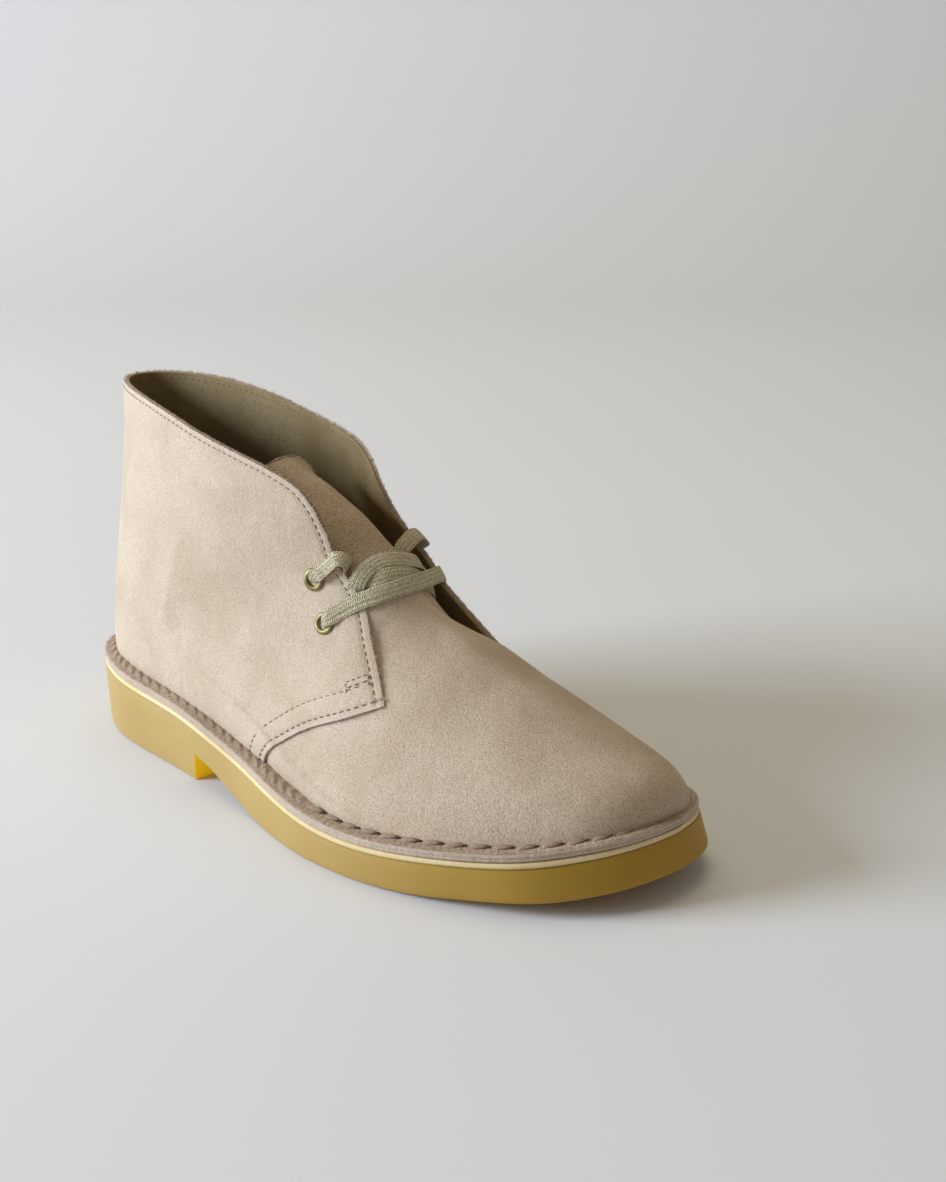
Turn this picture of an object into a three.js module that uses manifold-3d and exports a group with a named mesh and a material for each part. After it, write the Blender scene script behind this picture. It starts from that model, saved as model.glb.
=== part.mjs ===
// An ankle-high chukka boot for the right foot: suede upper, two pairs of eyelets, rubber sole.
// Millimetres. +X is the toe, +Y the inner side of the foot, +Z up, and the floor is z = 0.
import * as THREE from "three";
import { ParametricGeometry } from "three/addons/geometries/ParametricGeometry.js";
import { mergeVertices } from "three/addons/utils/BufferGeometryUtils.js";
import Module from "manifold-3d";

const wasm = await Module();
wasm.setup();

// ---- driving sizes ----
const GAP = 0.3; // between touching pieces
const SUEDE = 1.8; // vamp and lining together
const OVERLAY = 1.5; // the quarters lie this much proud of the vamp
const WELT_THICK = 3.2;
const MIDSOLE_THICK = 1.8;
const INSOLE_THICK = 3.0;
const INSOLE_END = 134;
const TONGUE_THICK = 2.2;
const EYELET_HOLE = 2.6; // radius
const EYELET_FLANGE = 4.6; // radius
const EYELET_BACK = 4; // radius of the flange inside
const EYELET_WALL = 0.7; // thickness of its tube
const EYELET_ROLL = 0.9; // how high its rim is rolled
const EYELET_CLEAR = 0.4; // between the tube and the leather
const LACE_WIDTH = 6.2;
const LACE_THICK = 1.4;
const TOE_LEAN = 0.22; // how far the sole's wall leans out, for each millimetre down
const HEEL_LEAN = 0.06; // the same at the heel, inwards
const WALL_TOP = 24; // the height where the outline is given
const HALF_SPACE = 90; // how far a side profile reaches to each side
const FAR = 260; // beyond every edge of the boot
const SOLE_BLOCK = 60; // higher than the sole and the welt
const COLLAR_TOP = 150.4; // at the heel's back

// ---- colours ----
const SUEDE_COLOUR = "#c8b9a6";
const RUBBER_COLOUR = "#b79c4a";
const CREAM_COLOUR = "#e6dba6";
const INSOLE_COLOUR = "#8a7a60";
const LACE_COLOUR = "#a9a583";
const BRASS_COLOUR = "#9a9160";

// ---- tables ----
// The sole's outline from above, round from the heel's back along the outer side to the toe.
const OUTLINE = [
  { x: -151, y: 7 },
  { x: -142, y: -18 },
  { x: -118, y: -32 },
  { x: -62, y: -39 },
  { x: -23, y: -45 },
  { x: 32, y: -55.5 },
  { x: 78, y: -50 },
  { x: 113, y: -34 },
  { x: 132, y: -16.5 },
  { x: 144, y: 2 },
  { x: 148.5, y: 21 },
  { x: 143.5, y: 39.5 },
  { x: 130, y: 50.5 },
  { x: 107, y: 55 },
  { x: 76, y: 55.5 },
  { x: 21, y: 51 },
  { x: -30, y: 39 },
  { x: -70, y: 41 },
  { x: -112, y: 45 },
  { x: -142.5, y: 32 },
];

// Side view of the rubber: its top surface, from heel to toe.
const RUBBER_TOP = [
  { x: -160, z: 27.3 },
  { x: -110, z: 25.5 },
  { x: -70, z: 23.8 },
  { x: -30, z: 19.7 },
  { x: 10, z: 15 },
  { x: 50, z: 12.5 },
  { x: 90, z: 15.4 },
  { x: 125, z: 19.1 },
  { x: 160, z: 26 },
];

// Side view of the tread: heel, breast, arch, flat forefoot and toe spring.
const TREAD = [
  { x: -160, z: 0 },
  { x: -54, z: 0 },
  { x: -54, z: 11 },
  { x: -42, z: 9.4 },
  { x: -28, z: 5.5 },
  { x: -15, z: 2 },
  { x: -3, z: 0.3 },
  { x: 4, z: 0 },
  { x: 55, z: 0 },
  { x: 75, z: 0.8 },
  { x: 90, z: 2 },
  { x: 110, z: 4.2 },
  { x: 125, z: 6 },
  { x: 140, z: 9 },
  { x: 160, z: 14 },
];

// The last, from the toe back along the instep and up the shaft. Each section is a leaning plane
// through a top point and a low point of the side view. half is its half width, at the height
// share wide; topMid and lowMid say where its middle lies; the powers round it above and below.
const LAST = [
  { topX: 143.2, topZ: 33, lowX: 143.8, lowZ: 20, topMid: 24, lowMid: 25, half: 0.4, wide: 0.35, topPower: 2, lowPower: 2.5 },
  { topX: 142, topZ: 38.5, lowX: 142.6, lowZ: 16, topMid: 23, lowMid: 23.5, half: 9, wide: 0.35, topPower: 2, lowPower: 2.5 },
  { topX: 135.5, topZ: 43.5, lowX: 137, lowZ: 13, topMid: 20.5, lowMid: 19.5, half: 21, wide: 0.32, topPower: 2, lowPower: 2.5 },
  { topX: 124, topZ: 48, lowX: 125, lowZ: 11, topMid: 18, lowMid: 14.5, half: 32, wide: 0.3, topPower: 1.95, lowPower: 2.5 },
  { topX: 106, topZ: 53.5, lowX: 107, lowZ: 9, topMid: 15.5, lowMid: 9, half: 39.8, wide: 0.28, topPower: 1.9, lowPower: 2.5 },
  { topX: 82, topZ: 62, lowX: 83, lowZ: 7, topMid: 13.5, lowMid: 3.5, half: 45.2, wide: 0.26, topPower: 1.85, lowPower: 2.5 },
  { topX: 58, topZ: 71.8, lowX: 57, lowZ: 5, topMid: 12, lowMid: 0, half: 48.2, wide: 0.25, topPower: 1.8, lowPower: 2.5 },
  { topX: 40, topZ: 79.5, lowX: 33, lowZ: 5, topMid: 11.5, lowMid: -1.5, half: 47.6, wide: 0.26, topPower: 1.75, lowPower: 2.6 },
  { topX: 30, topZ: 87, lowX: 5, lowZ: 7, topMid: 11, lowMid: -1.5, half: 43.6, wide: 0.28, topPower: 1.75, lowPower: 2.8 },
  { topX: 25, topZ: 95, lowX: -28, lowZ: 10, topMid: 11, lowMid: -1, half: 38.6, wide: 0.3, topPower: 1.75, lowPower: 2.8 },
  { topX: 23, topZ: 104, lowX: -68, lowZ: 12, topMid: 11, lowMid: 1.5, half: 36, wide: 0.32, topPower: 1.8, lowPower: 2.8 },
  { topX: 22, topZ: 113, lowX: -110, lowZ: 14, topMid: 10.5, lowMid: 5, half: 35.6, wide: 0.34, topPower: 1.85, lowPower: 2.9 },
  { topX: 22, topZ: 122, lowX: -139, lowZ: 22, topMid: 10, lowMid: 7, half: 35, wide: 0.36, topPower: 1.9, lowPower: 2.8 },
  { topX: 23, topZ: 132, lowX: -146, lowZ: 48, topMid: 9, lowMid: 7, half: 33, wide: 0.4, topPower: 1.95, lowPower: 2.5 },
  { topX: 24, topZ: 142, lowX: -145.8, lowZ: 82, topMid: 8, lowMid: 7, half: 30, wide: 0.45, topPower: 2, lowPower: 2.2 },
  { topX: 26, topZ: 152, lowX: -143, lowZ: 117, topMid: 6.5, lowMid: 6.5, half: 27.7, wide: 0.48, topPower: 2, lowPower: 2 },
  { topX: 28, topZ: 162, lowX: -139.2, lowZ: 152, topMid: 5, lowMid: 6, half: 26.7, wide: 0.48, topPower: 2, lowPower: 2 },
  { topX: 30, topZ: 172, lowX: -137, lowZ: 175, topMid: 5, lowMid: 6, half: 26.7, wide: 0.48, topPower: 2, lowPower: 2 },
];

// Side view of the quarters' edge: the collar from the heel forward, down the facing to the corner.
const COLLAR = [
  { x: -160, z: COLLAR_TOP },
  { x: -140, z: 150.2 },
  { x: -120, z: 150 },
  { x: -100, z: 148.5 },
  { x: -80, z: 145.5 },
  { x: -65, z: 142.3 },
  { x: -45, z: 138.5 },
  { x: -25, z: 134 },
  { x: -12, z: 128.5 },
  { x: -5, z: 121 },
  { x: -1, z: 112 },
  { x: 3, z: 101.3 },
  { x: 9, z: 94.5 },
  { x: 16.5, z: 86.3 },
  { x: 25, z: 76 },
  { x: 34.5, z: 66.5 },
  { x: 44.5, z: 57 },
];

// Side view of the quarters' lower front edge, from the corner down to the welt.
const QUARTER_FRONT = [
  { x: 44.5, z: 57 },
  { x: 31, z: 50.5 },
  { x: 14, z: 42.5 },
  { x: 3, z: 35 },
  { x: -5, z: 28 },
  { x: -11, z: 18 },
];

// The tongue along its middle, from under the vamp to its free end. drop is how far its sides
// fall below the middle, half its half width.
const TONGUE = [
  { x: 42, z: 74, mid: 10.5, half: 17, drop: 7 },
  { x: 34, z: 79.5, mid: 10.5, half: 20, drop: 10 },
  { x: 26, z: 87.5, mid: 10.5, half: 22, drop: 12 },
  { x: 14, z: 100, mid: 10, half: 23, drop: 13 },
  { x: -4, z: 112.8, mid: 9, half: 23.5, drop: 12 },
  { x: -22, z: 121.8, mid: 8, half: 23, drop: 10 },
  { x: -34, z: 127.5, mid: 7, half: 20, drop: 7 },
  { x: -41, z: 131, mid: 6.5, half: 12, drop: 3 },
];

// Side view of the eyelets' middles, a pair on each quarter.
const EYELETS = [
  { name: "upper", x: -4, z: 93 },
  { name: "lower", x: 5, z: 77.6 },
];

// The lace's routes, counted from the middle of the throat towards one side.
const THROAT_MID = 9.6;
const LACE_CORE = new THREE.Vector3(-14, THROAT_MID, 66);
const LACE_BAR = [
  { x: 7, y: 32, z: 80.6 },
  { x: 9, y: 31.8, z: 82.8 },
  { x: 13, y: 29, z: 86 },
  { x: 19, y: 21, z: 90 },
  { x: 24, y: 11, z: 93.2 },
  { x: 25.6, y: 0, z: 94.4 },
];
const LACE_CROSSING = [
  { x: 16.8, y: -16, z: 92.6 },
  { x: 18, y: -9, z: 97 },
  { x: 17.8, y: 0, z: 99.8 },
  { x: 16, y: 10, z: 100.5 },
  { x: 12.5, y: 17, z: 101.5 },
  { x: 10, y: 22, z: 103 },
  { x: 7, y: 26, z: 102.9 },
  { x: 2.8, y: 28.4, z: 99.4 },
  { x: -1.6, y: 29.4, z: 95.2 },
];

// ---- curves and forms ----
function smoothCurve(points, closed) {
  const places = points.map((p) => new THREE.Vector3(p.x, p.y ?? 0, p.z ?? 0));
  return new THREE.CatmullRomCurve3(places, closed, "centripetal");
}

// A table's row at a fraction between rows, each column smoothly joined. The first row is where a
// form is mirrored, so it's level there, and a half width that starts at nothing runs straight.
function rowAt(table, place) {
  const at = Math.min(Math.max(place, 0), table.length - 1);
  const i = Math.min(Math.floor(at), table.length - 2);
  const t = at - i;
  const b = table[i];
  const c = table[i + 1];
  const row = {};
  for (const column of Object.keys(b)) {
    const start = column === "half" && b.half < 1 ? -c.half : c[column];
    const before = i > 0 ? table[i - 1][column] : start;
    const after = i + 2 < table.length ? table[i + 2][column] : 2 * c[column] - b[column];
    const bend = 2 * before - 5 * b[column] + 4 * c[column] - after;
    const twist = -before + 3 * b[column] - 3 * c[column] + after;
    row[column] = b[column] + 0.5 * t * (c[column] - before + t * (bend + t * twist));
  }
  return row;
}

// Where a section stands at a height share, on one side: -1 is outer and 1 is inner.
function sectionPoint(row, height, spread, side) {
  const rise = Math.max(0, (height - row.wide) / (1 - row.wide));
  const middle = row.lowMid + (row.topMid - row.lowMid) * Math.sqrt(rise);
  return new THREE.Vector3(
    row.lowX + (row.topX - row.lowX) * height,
    middle + side * row.half * spread,
    row.lowZ + (row.topZ - row.lowZ) * height,
  );
}

// A point of the last: place runs along its rows, angle round a section.
function lastPoint(place, angle) {
  const row = rowAt(LAST, place);
  const up = Math.sin(angle);
  const power = up >= 0 ? row.topPower : row.lowPower;
  const reach = Math.abs(up) ** (2 / power);
  const height = up >= 0 ? row.wide + (1 - row.wide) * reach : row.wide * (1 - reach);
  const spread = Math.abs(Math.cos(angle)) ** (2 / power);
  return sectionPoint(row, height, spread, Math.cos(angle) >= 0 ? -1 : 1);
}

// The same point moved out along the last's normal.
function lastSkin(place, angle, offset) {
  const step = 0.01;
  const from = Math.max(0, place - step);
  const to = Math.min(LAST.length - 1, place + step);
  const along = lastPoint(to, angle).sub(lastPoint(from, angle));
  const round = lastPoint(place, angle + step).sub(lastPoint(place, angle - step));
  return lastPoint(place, angle).addScaledVector(round.cross(along).normalize(), offset);
}

// The outer surface's point at a side view place, with its normal, on one side.
function skinAt(x, z, side) {
  let low = 0;
  let high = LAST.length - 1;
  const lean = (place) => {
    const row = rowAt(LAST, place);
    return (row.topX - row.lowX) * (z - row.lowZ) - (row.topZ - row.lowZ) * (x - row.lowX);
  };
  for (let i = 0; i < 40; i += 1) {
    const middle = (low + high) / 2;
    if (lean(middle) > 0 === lean(high) > 0) high = middle;
    else low = middle;
  }
  const row = rowAt(LAST, low);
  const height = (z - row.lowZ) / (row.topZ - row.lowZ);
  const above = height >= row.wide;
  const power = above ? row.topPower : row.lowPower;
  const reach = above ? (height - row.wide) / (1 - row.wide) : 1 - height / row.wide;
  const sine = Math.min(1, reach) ** (power / 2) * (above ? 1 : -1);
  const angle = side < 0 ? Math.asin(sine) : Math.PI - Math.asin(sine);
  const point = lastSkin(low, angle, 0);
  return { point, normal: lastSkin(low, angle, 1).sub(point) };
}

// ---- solids ----
function solidOf(geometry) {
  geometry.deleteAttribute("normal");
  geometry.deleteAttribute("uv");
  const merged = mergeVertices(geometry, 1e-4);
  const corners = Array.from(merged.index.array);
  const kept = [];
  for (let i = 0; i < corners.length; i += 3) {
    const [a, b, c] = corners.slice(i, i + 3);
    if (a !== b && b !== c && c !== a) kept.push(a, b, c);
  }
  const mesh = new wasm.Mesh({
    numProp: 3,
    vertProperties: merged.attributes.position.array,
    triVerts: new Uint32Array(kept),
  });
  return new wasm.Manifold(mesh);
}

// A closed form from a surface function that wraps round in v; its two ends close on a point.
function closedForm(surface, along, round) {
  const rings = along - 2;
  const centre = (u) => surface(u, 0).add(surface(u, 0.5)).multiplyScalar(0.5);
  return new ParametricGeometry(
    (v, u, target) => {
      const ring = Math.round(u * along) - 1;
      const share = Math.min(Math.max(ring / rings, 0), 1);
      const end = ring < 0 || ring > rings;
      target.copy(end ? centre(share) : surface(share, v === 1 ? 0 : v));
    },
    round,
    along,
  );
}

function lastForm(offset) {
  const surface = (u, v) => lastSkin(u * (LAST.length - 1), v * 2 * Math.PI, offset);
  return solidOf(closedForm(surface, 36, 32));
}

// A side view outline, extruded across the whole boot.
function sideBlock(points) {
  const shape = new THREE.Shape(points.map((p) => new THREE.Vector2(p.x, p.z)));
  const block = new THREE.ExtrudeGeometry(shape, { depth: 2 * HALF_SPACE, bevelEnabled: false });
  return solidOf(block.rotateX(Math.PI / 2).translate(0, HALF_SPACE, 0));
}

// What lies inside the sole's outline, its walls leaning out at the toe and in at the heel.
function planBlock() {
  const points = smoothCurve(OUTLINE, true).getPoints(70).slice(0, -1);
  const shape = new THREE.Shape(points.map((p) => new THREE.Vector2(p.x, p.y)));
  const block = new THREE.ExtrudeGeometry(shape, { depth: SOLE_BLOCK, bevelEnabled: false });
  const places = block.getAttribute("position");
  for (let i = 0; i < places.count; i += 1) {
    const x = places.getX(i);
    const toe = TOE_LEAN * THREE.MathUtils.smoothstep(x, 95, 148);
    const heel = HEEL_LEAN * THREE.MathUtils.smoothstep(-x, 105, 150);
    places.setX(i, x + (toe + heel) * (WALL_TOP - places.getZ(i)));
  }
  return solidOf(block);
}

const rubberTop = smoothCurve(RUBBER_TOP, false).getPoints(28);
const topLine = (rise) => rubberTop.map((p) => ({ x: p.x, z: p.z + rise }));

// The layer between two heights over the rubber's top.
function layer(low, high) {
  return sideBlock([...topLine(low), ...topLine(high).reverse()]);
}

const EYELET_TUBE = EYELET_HOLE + EYELET_WALL; // radius outside
const EYELET_BORE = EYELET_TUBE + EYELET_CLEAR; // radius of the hole in the leather
const MIDSOLE_LOW = GAP;
const MIDSOLE_HIGH = MIDSOLE_LOW + MIDSOLE_THICK;
const FOOT = MIDSOLE_HIGH + GAP; // where the welt, the upper and the insole stand

// ---- sub-parts ----
function outsole() {
  const side = sideBlock([...TREAD, ...topLine(0).reverse()]);
  return planBlock().intersect(side);
}

function midsole() {
  return planBlock().intersect(layer(MIDSOLE_LOW, MIDSOLE_HIGH));
}

function welt() {
  const band = planBlock().intersect(layer(FOOT, FOOT + WELT_THICK));
  return band.subtract(lastForm(OVERLAY + GAP));
}

// The board inside the shoe, ending a little short of the toe.
function insole() {
  const board = layer(FOOT, FOOT + INSOLE_THICK);
  const short = sideBlock([
    { x: -FAR, z: 0 },
    { x: INSOLE_END, z: 0 },
    { x: INSOLE_END, z: FAR },
    { x: -FAR, z: FAR },
  ]);
  return lastForm(-SUEDE - GAP).intersect(board).intersect(short);
}

// The hollow upper: the vamp, and the thicker quarters that lie over it.
function upper() {
  const collar = smoothCurve(COLLAR, false).getPoints(48);
  const front = smoothCurve(QUARTER_FRONT, false).getPoints(16).slice(1);
  const behind = [
    { x: -30, z: 0 },
    { x: -FAR, z: 0 },
    { x: -FAR, z: COLLAR_TOP },
  ];
  const quarterSide = sideBlock([...collar, ...front, ...behind]);
  const vampSide = sideBlock([
    { x: FAR, z: 0 },
    { x: FAR, z: 96 },
    { x: 33, z: 96 },
    { x: 25, z: 88 },
    { x: 12, z: 62 },
    { x: -25, z: 30 },
    { x: -30, z: 0 },
  ]);
  const quarters = lastForm(OVERLAY).intersect(quarterSide);
  const vamp = lastForm(0).intersect(vampSide);
  const above = layer(FOOT, FAR);
  let shell = quarters.add(vamp).subtract(lastForm(-SUEDE)).intersect(above);
  for (const eyelet of EYELETS) {
    for (const side of [-1, 1]) {
      const hole = new THREE.CylinderGeometry(EYELET_BORE, EYELET_BORE, 16, 24);
      shell = shell.subtract(solidOf(placedOnSkin(hole, eyelet, side)));
    }
  }
  return shell;
}

// Puts a geometry whose axis is Y on the quarters, its axis along their normal.
function placedOnSkin(geometry, eyelet, side) {
  const { point, normal } = skinAt(eyelet.x, eyelet.z, side);
  const turn = new THREE.Quaternion().setFromUnitVectors(new THREE.Vector3(0, 1, 0), normal.normalize());
  return geometry.applyQuaternion(turn).translate(point.x, point.y, point.z);
}

function tongue() {
  const surface = (u, v) => {
    const place = u * (TONGUE.length - 1);
    const row = rowAt(TONGUE, place);
    const ahead = rowAt(TONGUE, Math.min(place + 0.05, TONGUE.length - 1));
    const behind = rowAt(TONGUE, Math.max(place - 0.05, 0));
    const along = new THREE.Vector2(ahead.x - behind.x, ahead.z - behind.z).normalize();
    const across = Math.cos(v * 2 * Math.PI);
    const deep = row.drop * across * across + (v > 0.5 ? TONGUE_THICK : 0) * (1 - across ** 8);
    return new THREE.Vector3(row.x - along.y * deep, row.mid - row.half * across, row.z + along.x * deep);
  };
  const form = solidOf(closedForm(surface, 18, 16));
  return form.intersect(lastForm(-SUEDE - GAP));
}

function eyelet(place, side) {
  const outer = OVERLAY + GAP;
  const inner = -SUEDE - 2 * GAP;
  const profile = [
    { r: EYELET_HOLE, h: inner - EYELET_ROLL },
    { r: EYELET_BACK, h: inner - EYELET_ROLL },
    { r: EYELET_BACK, h: inner },
    { r: EYELET_TUBE, h: inner },
    { r: EYELET_TUBE, h: outer },
    { r: EYELET_FLANGE, h: outer },
    { r: EYELET_FLANGE - EYELET_ROLL, h: outer + EYELET_ROLL },
    { r: EYELET_HOLE, h: outer + EYELET_ROLL / 2 },
    { r: EYELET_HOLE, h: inner - EYELET_ROLL },
  ];
  const ring = new THREE.LatheGeometry(profile.map((p) => new THREE.Vector2(p.r, p.h)), 16);
  return solidOf(placedOnSkin(ring, place, side));
}

// A flat lace swept along a route, its flat side turned away from the foot.
function ribbon(route) {
  const curve = smoothCurve(route, false);
  const surface = (u, v) => {
    const point = curve.getPointAt(u);
    const along = curve.getTangentAt(u);
    const away = point.clone().sub(LACE_CORE);
    away.addScaledVector(along, -away.dot(along)).normalize();
    const across = away.clone().cross(along);
    const angle = v * 2 * Math.PI;
    const wide = Math.sign(Math.cos(angle)) * Math.abs(Math.cos(angle)) ** 0.6;
    point.addScaledVector(across, (wide * LACE_WIDTH) / 2);
    return point.addScaledVector(away, (Math.sin(angle) * LACE_THICK) / 2);
  };
  return solidOf(closedForm(surface, route.length * 3, 8));
}

// The bar over the lower eyelets, and the crossing above it with its turns to the upper ones.
// y is counted from the middle of the throat towards the side where the route ends.
function laceRoute(points, side) {
  return points.map((p) => ({ x: p.x, y: THROAT_MID + side * p.y, z: p.z }));
}

function laceBar() {
  return ribbon([...laceRoute(LACE_BAR, -1), ...laceRoute(LACE_BAR, 1).reverse().slice(1)]);
}

function laceCrossing() {
  return ribbon(laceRoute(LACE_CROSSING, -1)).add(ribbon(laceRoute(LACE_CROSSING, 1)));
}

// ---- the boot ----
const boot = new THREE.Group();

function addPiece(name, solid, colour, roughness, metalness = 0) {
  const made = solid.getMesh();
  const geometry = new THREE.BufferGeometry();
  geometry.setAttribute("position", new THREE.BufferAttribute(made.vertProperties, 3));
  geometry.setIndex(new THREE.BufferAttribute(made.triVerts, 1));
  geometry.computeVertexNormals();
  const material = new THREE.MeshStandardMaterial({ color: colour, roughness, metalness });
  const mesh = new THREE.Mesh(geometry, material);
  mesh.name = name;
  boot.add(mesh);
}

addPiece("outsole", outsole(), RUBBER_COLOUR, 0.45);
addPiece("midsole", midsole(), CREAM_COLOUR, 0.7);
addPiece("welt", welt(), SUEDE_COLOUR, 0.95);
addPiece("upper", upper(), SUEDE_COLOUR, 0.95);
addPiece("tongue", tongue(), SUEDE_COLOUR, 0.95);
addPiece("insole", insole(), INSOLE_COLOUR, 0.8);
addPiece("lace_bar", laceBar(), LACE_COLOUR, 0.9);
addPiece("lace_crossing", laceCrossing(), LACE_COLOUR, 0.9);
for (const place of EYELETS) {
  addPiece(`eyelet_${place.name}_outer`, eyelet(place, -1), BRASS_COLOUR, 0.4, 1);
  addPiece(`eyelet_${place.name}_inner`, eyelet(place, 1), BRASS_COLOUR, 0.4, 1);
}

export default boot;
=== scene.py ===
# %% [markdown]
# A chukka boot for the right foot, built over its plain CAD model: suede vamp and quarters, a
# leather lining, whip-stitched welt, gum rubber sole, and a woven lace through four brass eyelets.
# Cell by cell it makes the camera, the studio, the finishes, and then each piece from the sole up.

import bmesh
import bpy
import numpy as np
from mathutils import Matrix, Vector, noise


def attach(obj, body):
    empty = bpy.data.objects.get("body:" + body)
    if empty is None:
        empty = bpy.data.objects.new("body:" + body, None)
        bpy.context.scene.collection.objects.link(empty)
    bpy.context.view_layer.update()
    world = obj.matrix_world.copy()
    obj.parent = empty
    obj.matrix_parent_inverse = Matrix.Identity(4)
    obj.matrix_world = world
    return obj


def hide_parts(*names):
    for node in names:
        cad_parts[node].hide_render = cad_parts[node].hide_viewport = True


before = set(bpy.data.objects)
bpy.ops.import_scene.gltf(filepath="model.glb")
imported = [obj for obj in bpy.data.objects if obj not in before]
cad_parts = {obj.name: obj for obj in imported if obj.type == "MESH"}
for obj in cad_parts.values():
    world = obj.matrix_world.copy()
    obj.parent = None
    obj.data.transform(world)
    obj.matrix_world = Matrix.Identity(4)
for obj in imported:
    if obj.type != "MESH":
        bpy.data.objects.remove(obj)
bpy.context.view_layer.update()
MM = 0.001  # sizes below are in millimetres, and Blender's are in metres

# %% [markdown]
# The camera comes first, so that each piece can be judged from the right place. It stands ahead of
# the boot and to its outer side, looking down a little. A direction is easier to read than three
# angles, so the camera is put along a direction from the point it looks at.

# %% Camera
scene = bpy.context.scene
LOOK_AT = Vector((0.0248, 0.0430, 0.0803))
TOWARDS_CAMERA = Vector((0.6459, -0.6876, 0.3318)).normalized()
CAMERA_DISTANCE = 0.7211

camera_data = bpy.data.cameras.new("camera")
camera_data.lens = 54.84
camera_data.sensor_width = 36
camera = bpy.data.objects.new("camera", camera_data)
camera.location = LOOK_AT + TOWARDS_CAMERA * CAMERA_DISTANCE
camera.rotation_euler = TOWARDS_CAMERA.to_track_quat("Z", "Y").to_euler()
scene.collection.objects.link(camera)
scene.camera = camera
scene.view_settings.view_transform = "Standard"  # colours as a product picture shows them
print("camera at", [round(n, 3) for n in camera.location])

# %% [markdown]
# Materials are built from nodes. Colours are written as sRGB hex, as a colour picker shows them,
# and Blender mixes light in linear values, so one function turns one into the other. A second
# small function adds any node with its settings and its links, which keeps each material short.
# Two kinds of node are used most: a mix of two colours, and a smooth ramp between two values.

# %% Colour and node helpers
def linear(hex_colour):
    """An sRGB hex colour as linear RGBA."""
    shares = [int(hex_colour[i : i + 2], 16) / 255 for i in (1, 3, 5)]
    return [*(s / 12.92 if s <= 0.04045 else ((s + 0.055) / 1.055) ** 2.4 for s in shares), 1]


def add(tree, kind, inputs=None, **settings):
    """Adds a node: settings are its options, and inputs are values, hex colours, or nodes to link."""
    node = tree.nodes.new("ShaderNode" + kind)
    for name, value in settings.items():
        setattr(node, name, value)
    for name, value in (inputs or {}).items():
        if isinstance(value, bpy.types.Node):
            value = next(socket for socket in value.outputs if socket.enabled)
        if isinstance(value, bpy.types.NodeSocket):
            tree.links.new(value, node.inputs[name])
        else:
            node.inputs[name].default_value = linear(value) if isinstance(value, str) else value
    return node


def new_material(name):
    """An empty material with its output node."""
    material = bpy.data.materials.new(name)
    material.use_nodes = True
    tree = material.node_tree
    tree.nodes.clear()
    return material, tree, add(tree, "OutputMaterial")


COLOURS = {"data_type": "RGBA"}  # a Mix node's sockets are then 0 its share, 6 and 7 its colours
RAMP = {"interpolation_type": "SMOOTHSTEP"}  # a MapRange node's are 0 its value, 1 and 2 the ramp's ends
TIMES = {"operation": "MULTIPLY"}


# %% [markdown]
# The studio is one pale sweep: a floor that curves up into the wall behind, so that there is no
# horizon line. It is a flat grid whose far rows are lifted along a quarter circle. The light is a
# large cool window, low and behind the heel's outer side, so the boot darkens towards the toe. A
# weak warm lamp overhead and a warm dim room open the shadows.

# %% Studio
SWEEP_HALF = 3.0
BEND_START = 1.1
BEND_RADIUS = 1.0

sweep = bmesh.new()
bmesh.ops.create_grid(sweep, x_segments=4, y_segments=120, size=SWEEP_HALF)
for corner in sweep.verts:
    past = corner.co.y - BEND_START
    turn = min(max(past / BEND_RADIUS, 0), np.pi / 2)
    rest = max(past - BEND_RADIUS * np.pi / 2, 0)
    if past > 0:
        corner.co.y = BEND_START + BEND_RADIUS * np.sin(turn)
        corner.co.z = BEND_RADIUS * (1 - np.cos(turn)) + rest
bmesh.ops.rotate(sweep, verts=sweep.verts, matrix=Matrix.Rotation(np.radians(43), 3, "Z"))
sweep_mesh = bpy.data.meshes.new("studio_sweep")
sweep.to_mesh(sweep_mesh)
sweep.free()
sweep_mesh.shade_smooth()
floor = bpy.data.objects.new("studio_sweep", sweep_mesh)
scene.collection.objects.link(floor)

# Painted board, matt and even: only a faint unevenness stops it from looking empty.
board, tree, output = new_material("matt_painted_board")
place = add(tree, "TexCoord").outputs["Object"]
cloud = add(tree, "TexNoise", {"Vector": place, "Scale": 1.5})
tone = add(tree, "Mix", {0: cloud, 6: "#dcdddd", 7: "#e2e2e2"}, **COLOURS)
shader = add(tree, "BsdfPrincipled", {"Base Color": tone, "Roughness": 0.85, "Specular IOR Level": 0.2})
tree.links.new(shader.outputs[0], output.inputs[0])
sweep_mesh.materials.append(board)


def softbox(name, place, aim, size, power, colour):
    """A square area light at place, turned to aim."""
    light = bpy.data.lights.new(name, "AREA")
    light.size = size
    light.energy = power
    light.color = linear(colour)[:3]
    lamp = bpy.data.objects.new(name, light)
    lamp.location = place
    lamp.rotation_euler = (Vector(place) - Vector(aim)).to_track_quat("Z", "Y").to_euler()
    scene.collection.objects.link(lamp)


softbox("window_light", (-1.5, -1.75, 0.85), (0, 0, 0.06), 1.1, 90, "#e2edff")
softbox("top_light", (-0.5, 0.3, 2.2), (0, 0, 0), 1.6, 12.5, "#fff3c4")
scene.world = scene.world or bpy.data.worlds.new("room")
scene.world.use_nodes = True
nodes = scene.world.node_tree.nodes
room = nodes.get("Background") or nodes.new("ShaderNodeBackground")
room.inputs[0].default_value = linear("#fff3eb")
room.inputs[1].default_value = 0.28
print("studio:", [lamp.name for lamp in bpy.data.lights], "and a pale room")

# %% [markdown]
# Suede is leather with its flesh side buffed up into a short nap. The nap scatters light, so suede
# has almost no gloss, a pale sheen at glancing angles, a fine mottle, and cloudy patches where
# the nap lies another way. Three noises make these: clouds at 30 mm, mottle at 4 mm and nap at 0.6
# to 0.9 mm, which is coarser than real nap so that it shows. The nap is also the bump. The edge map
# that each suede panel carries gives its distance from a cut edge, where raw leather is paler.

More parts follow.
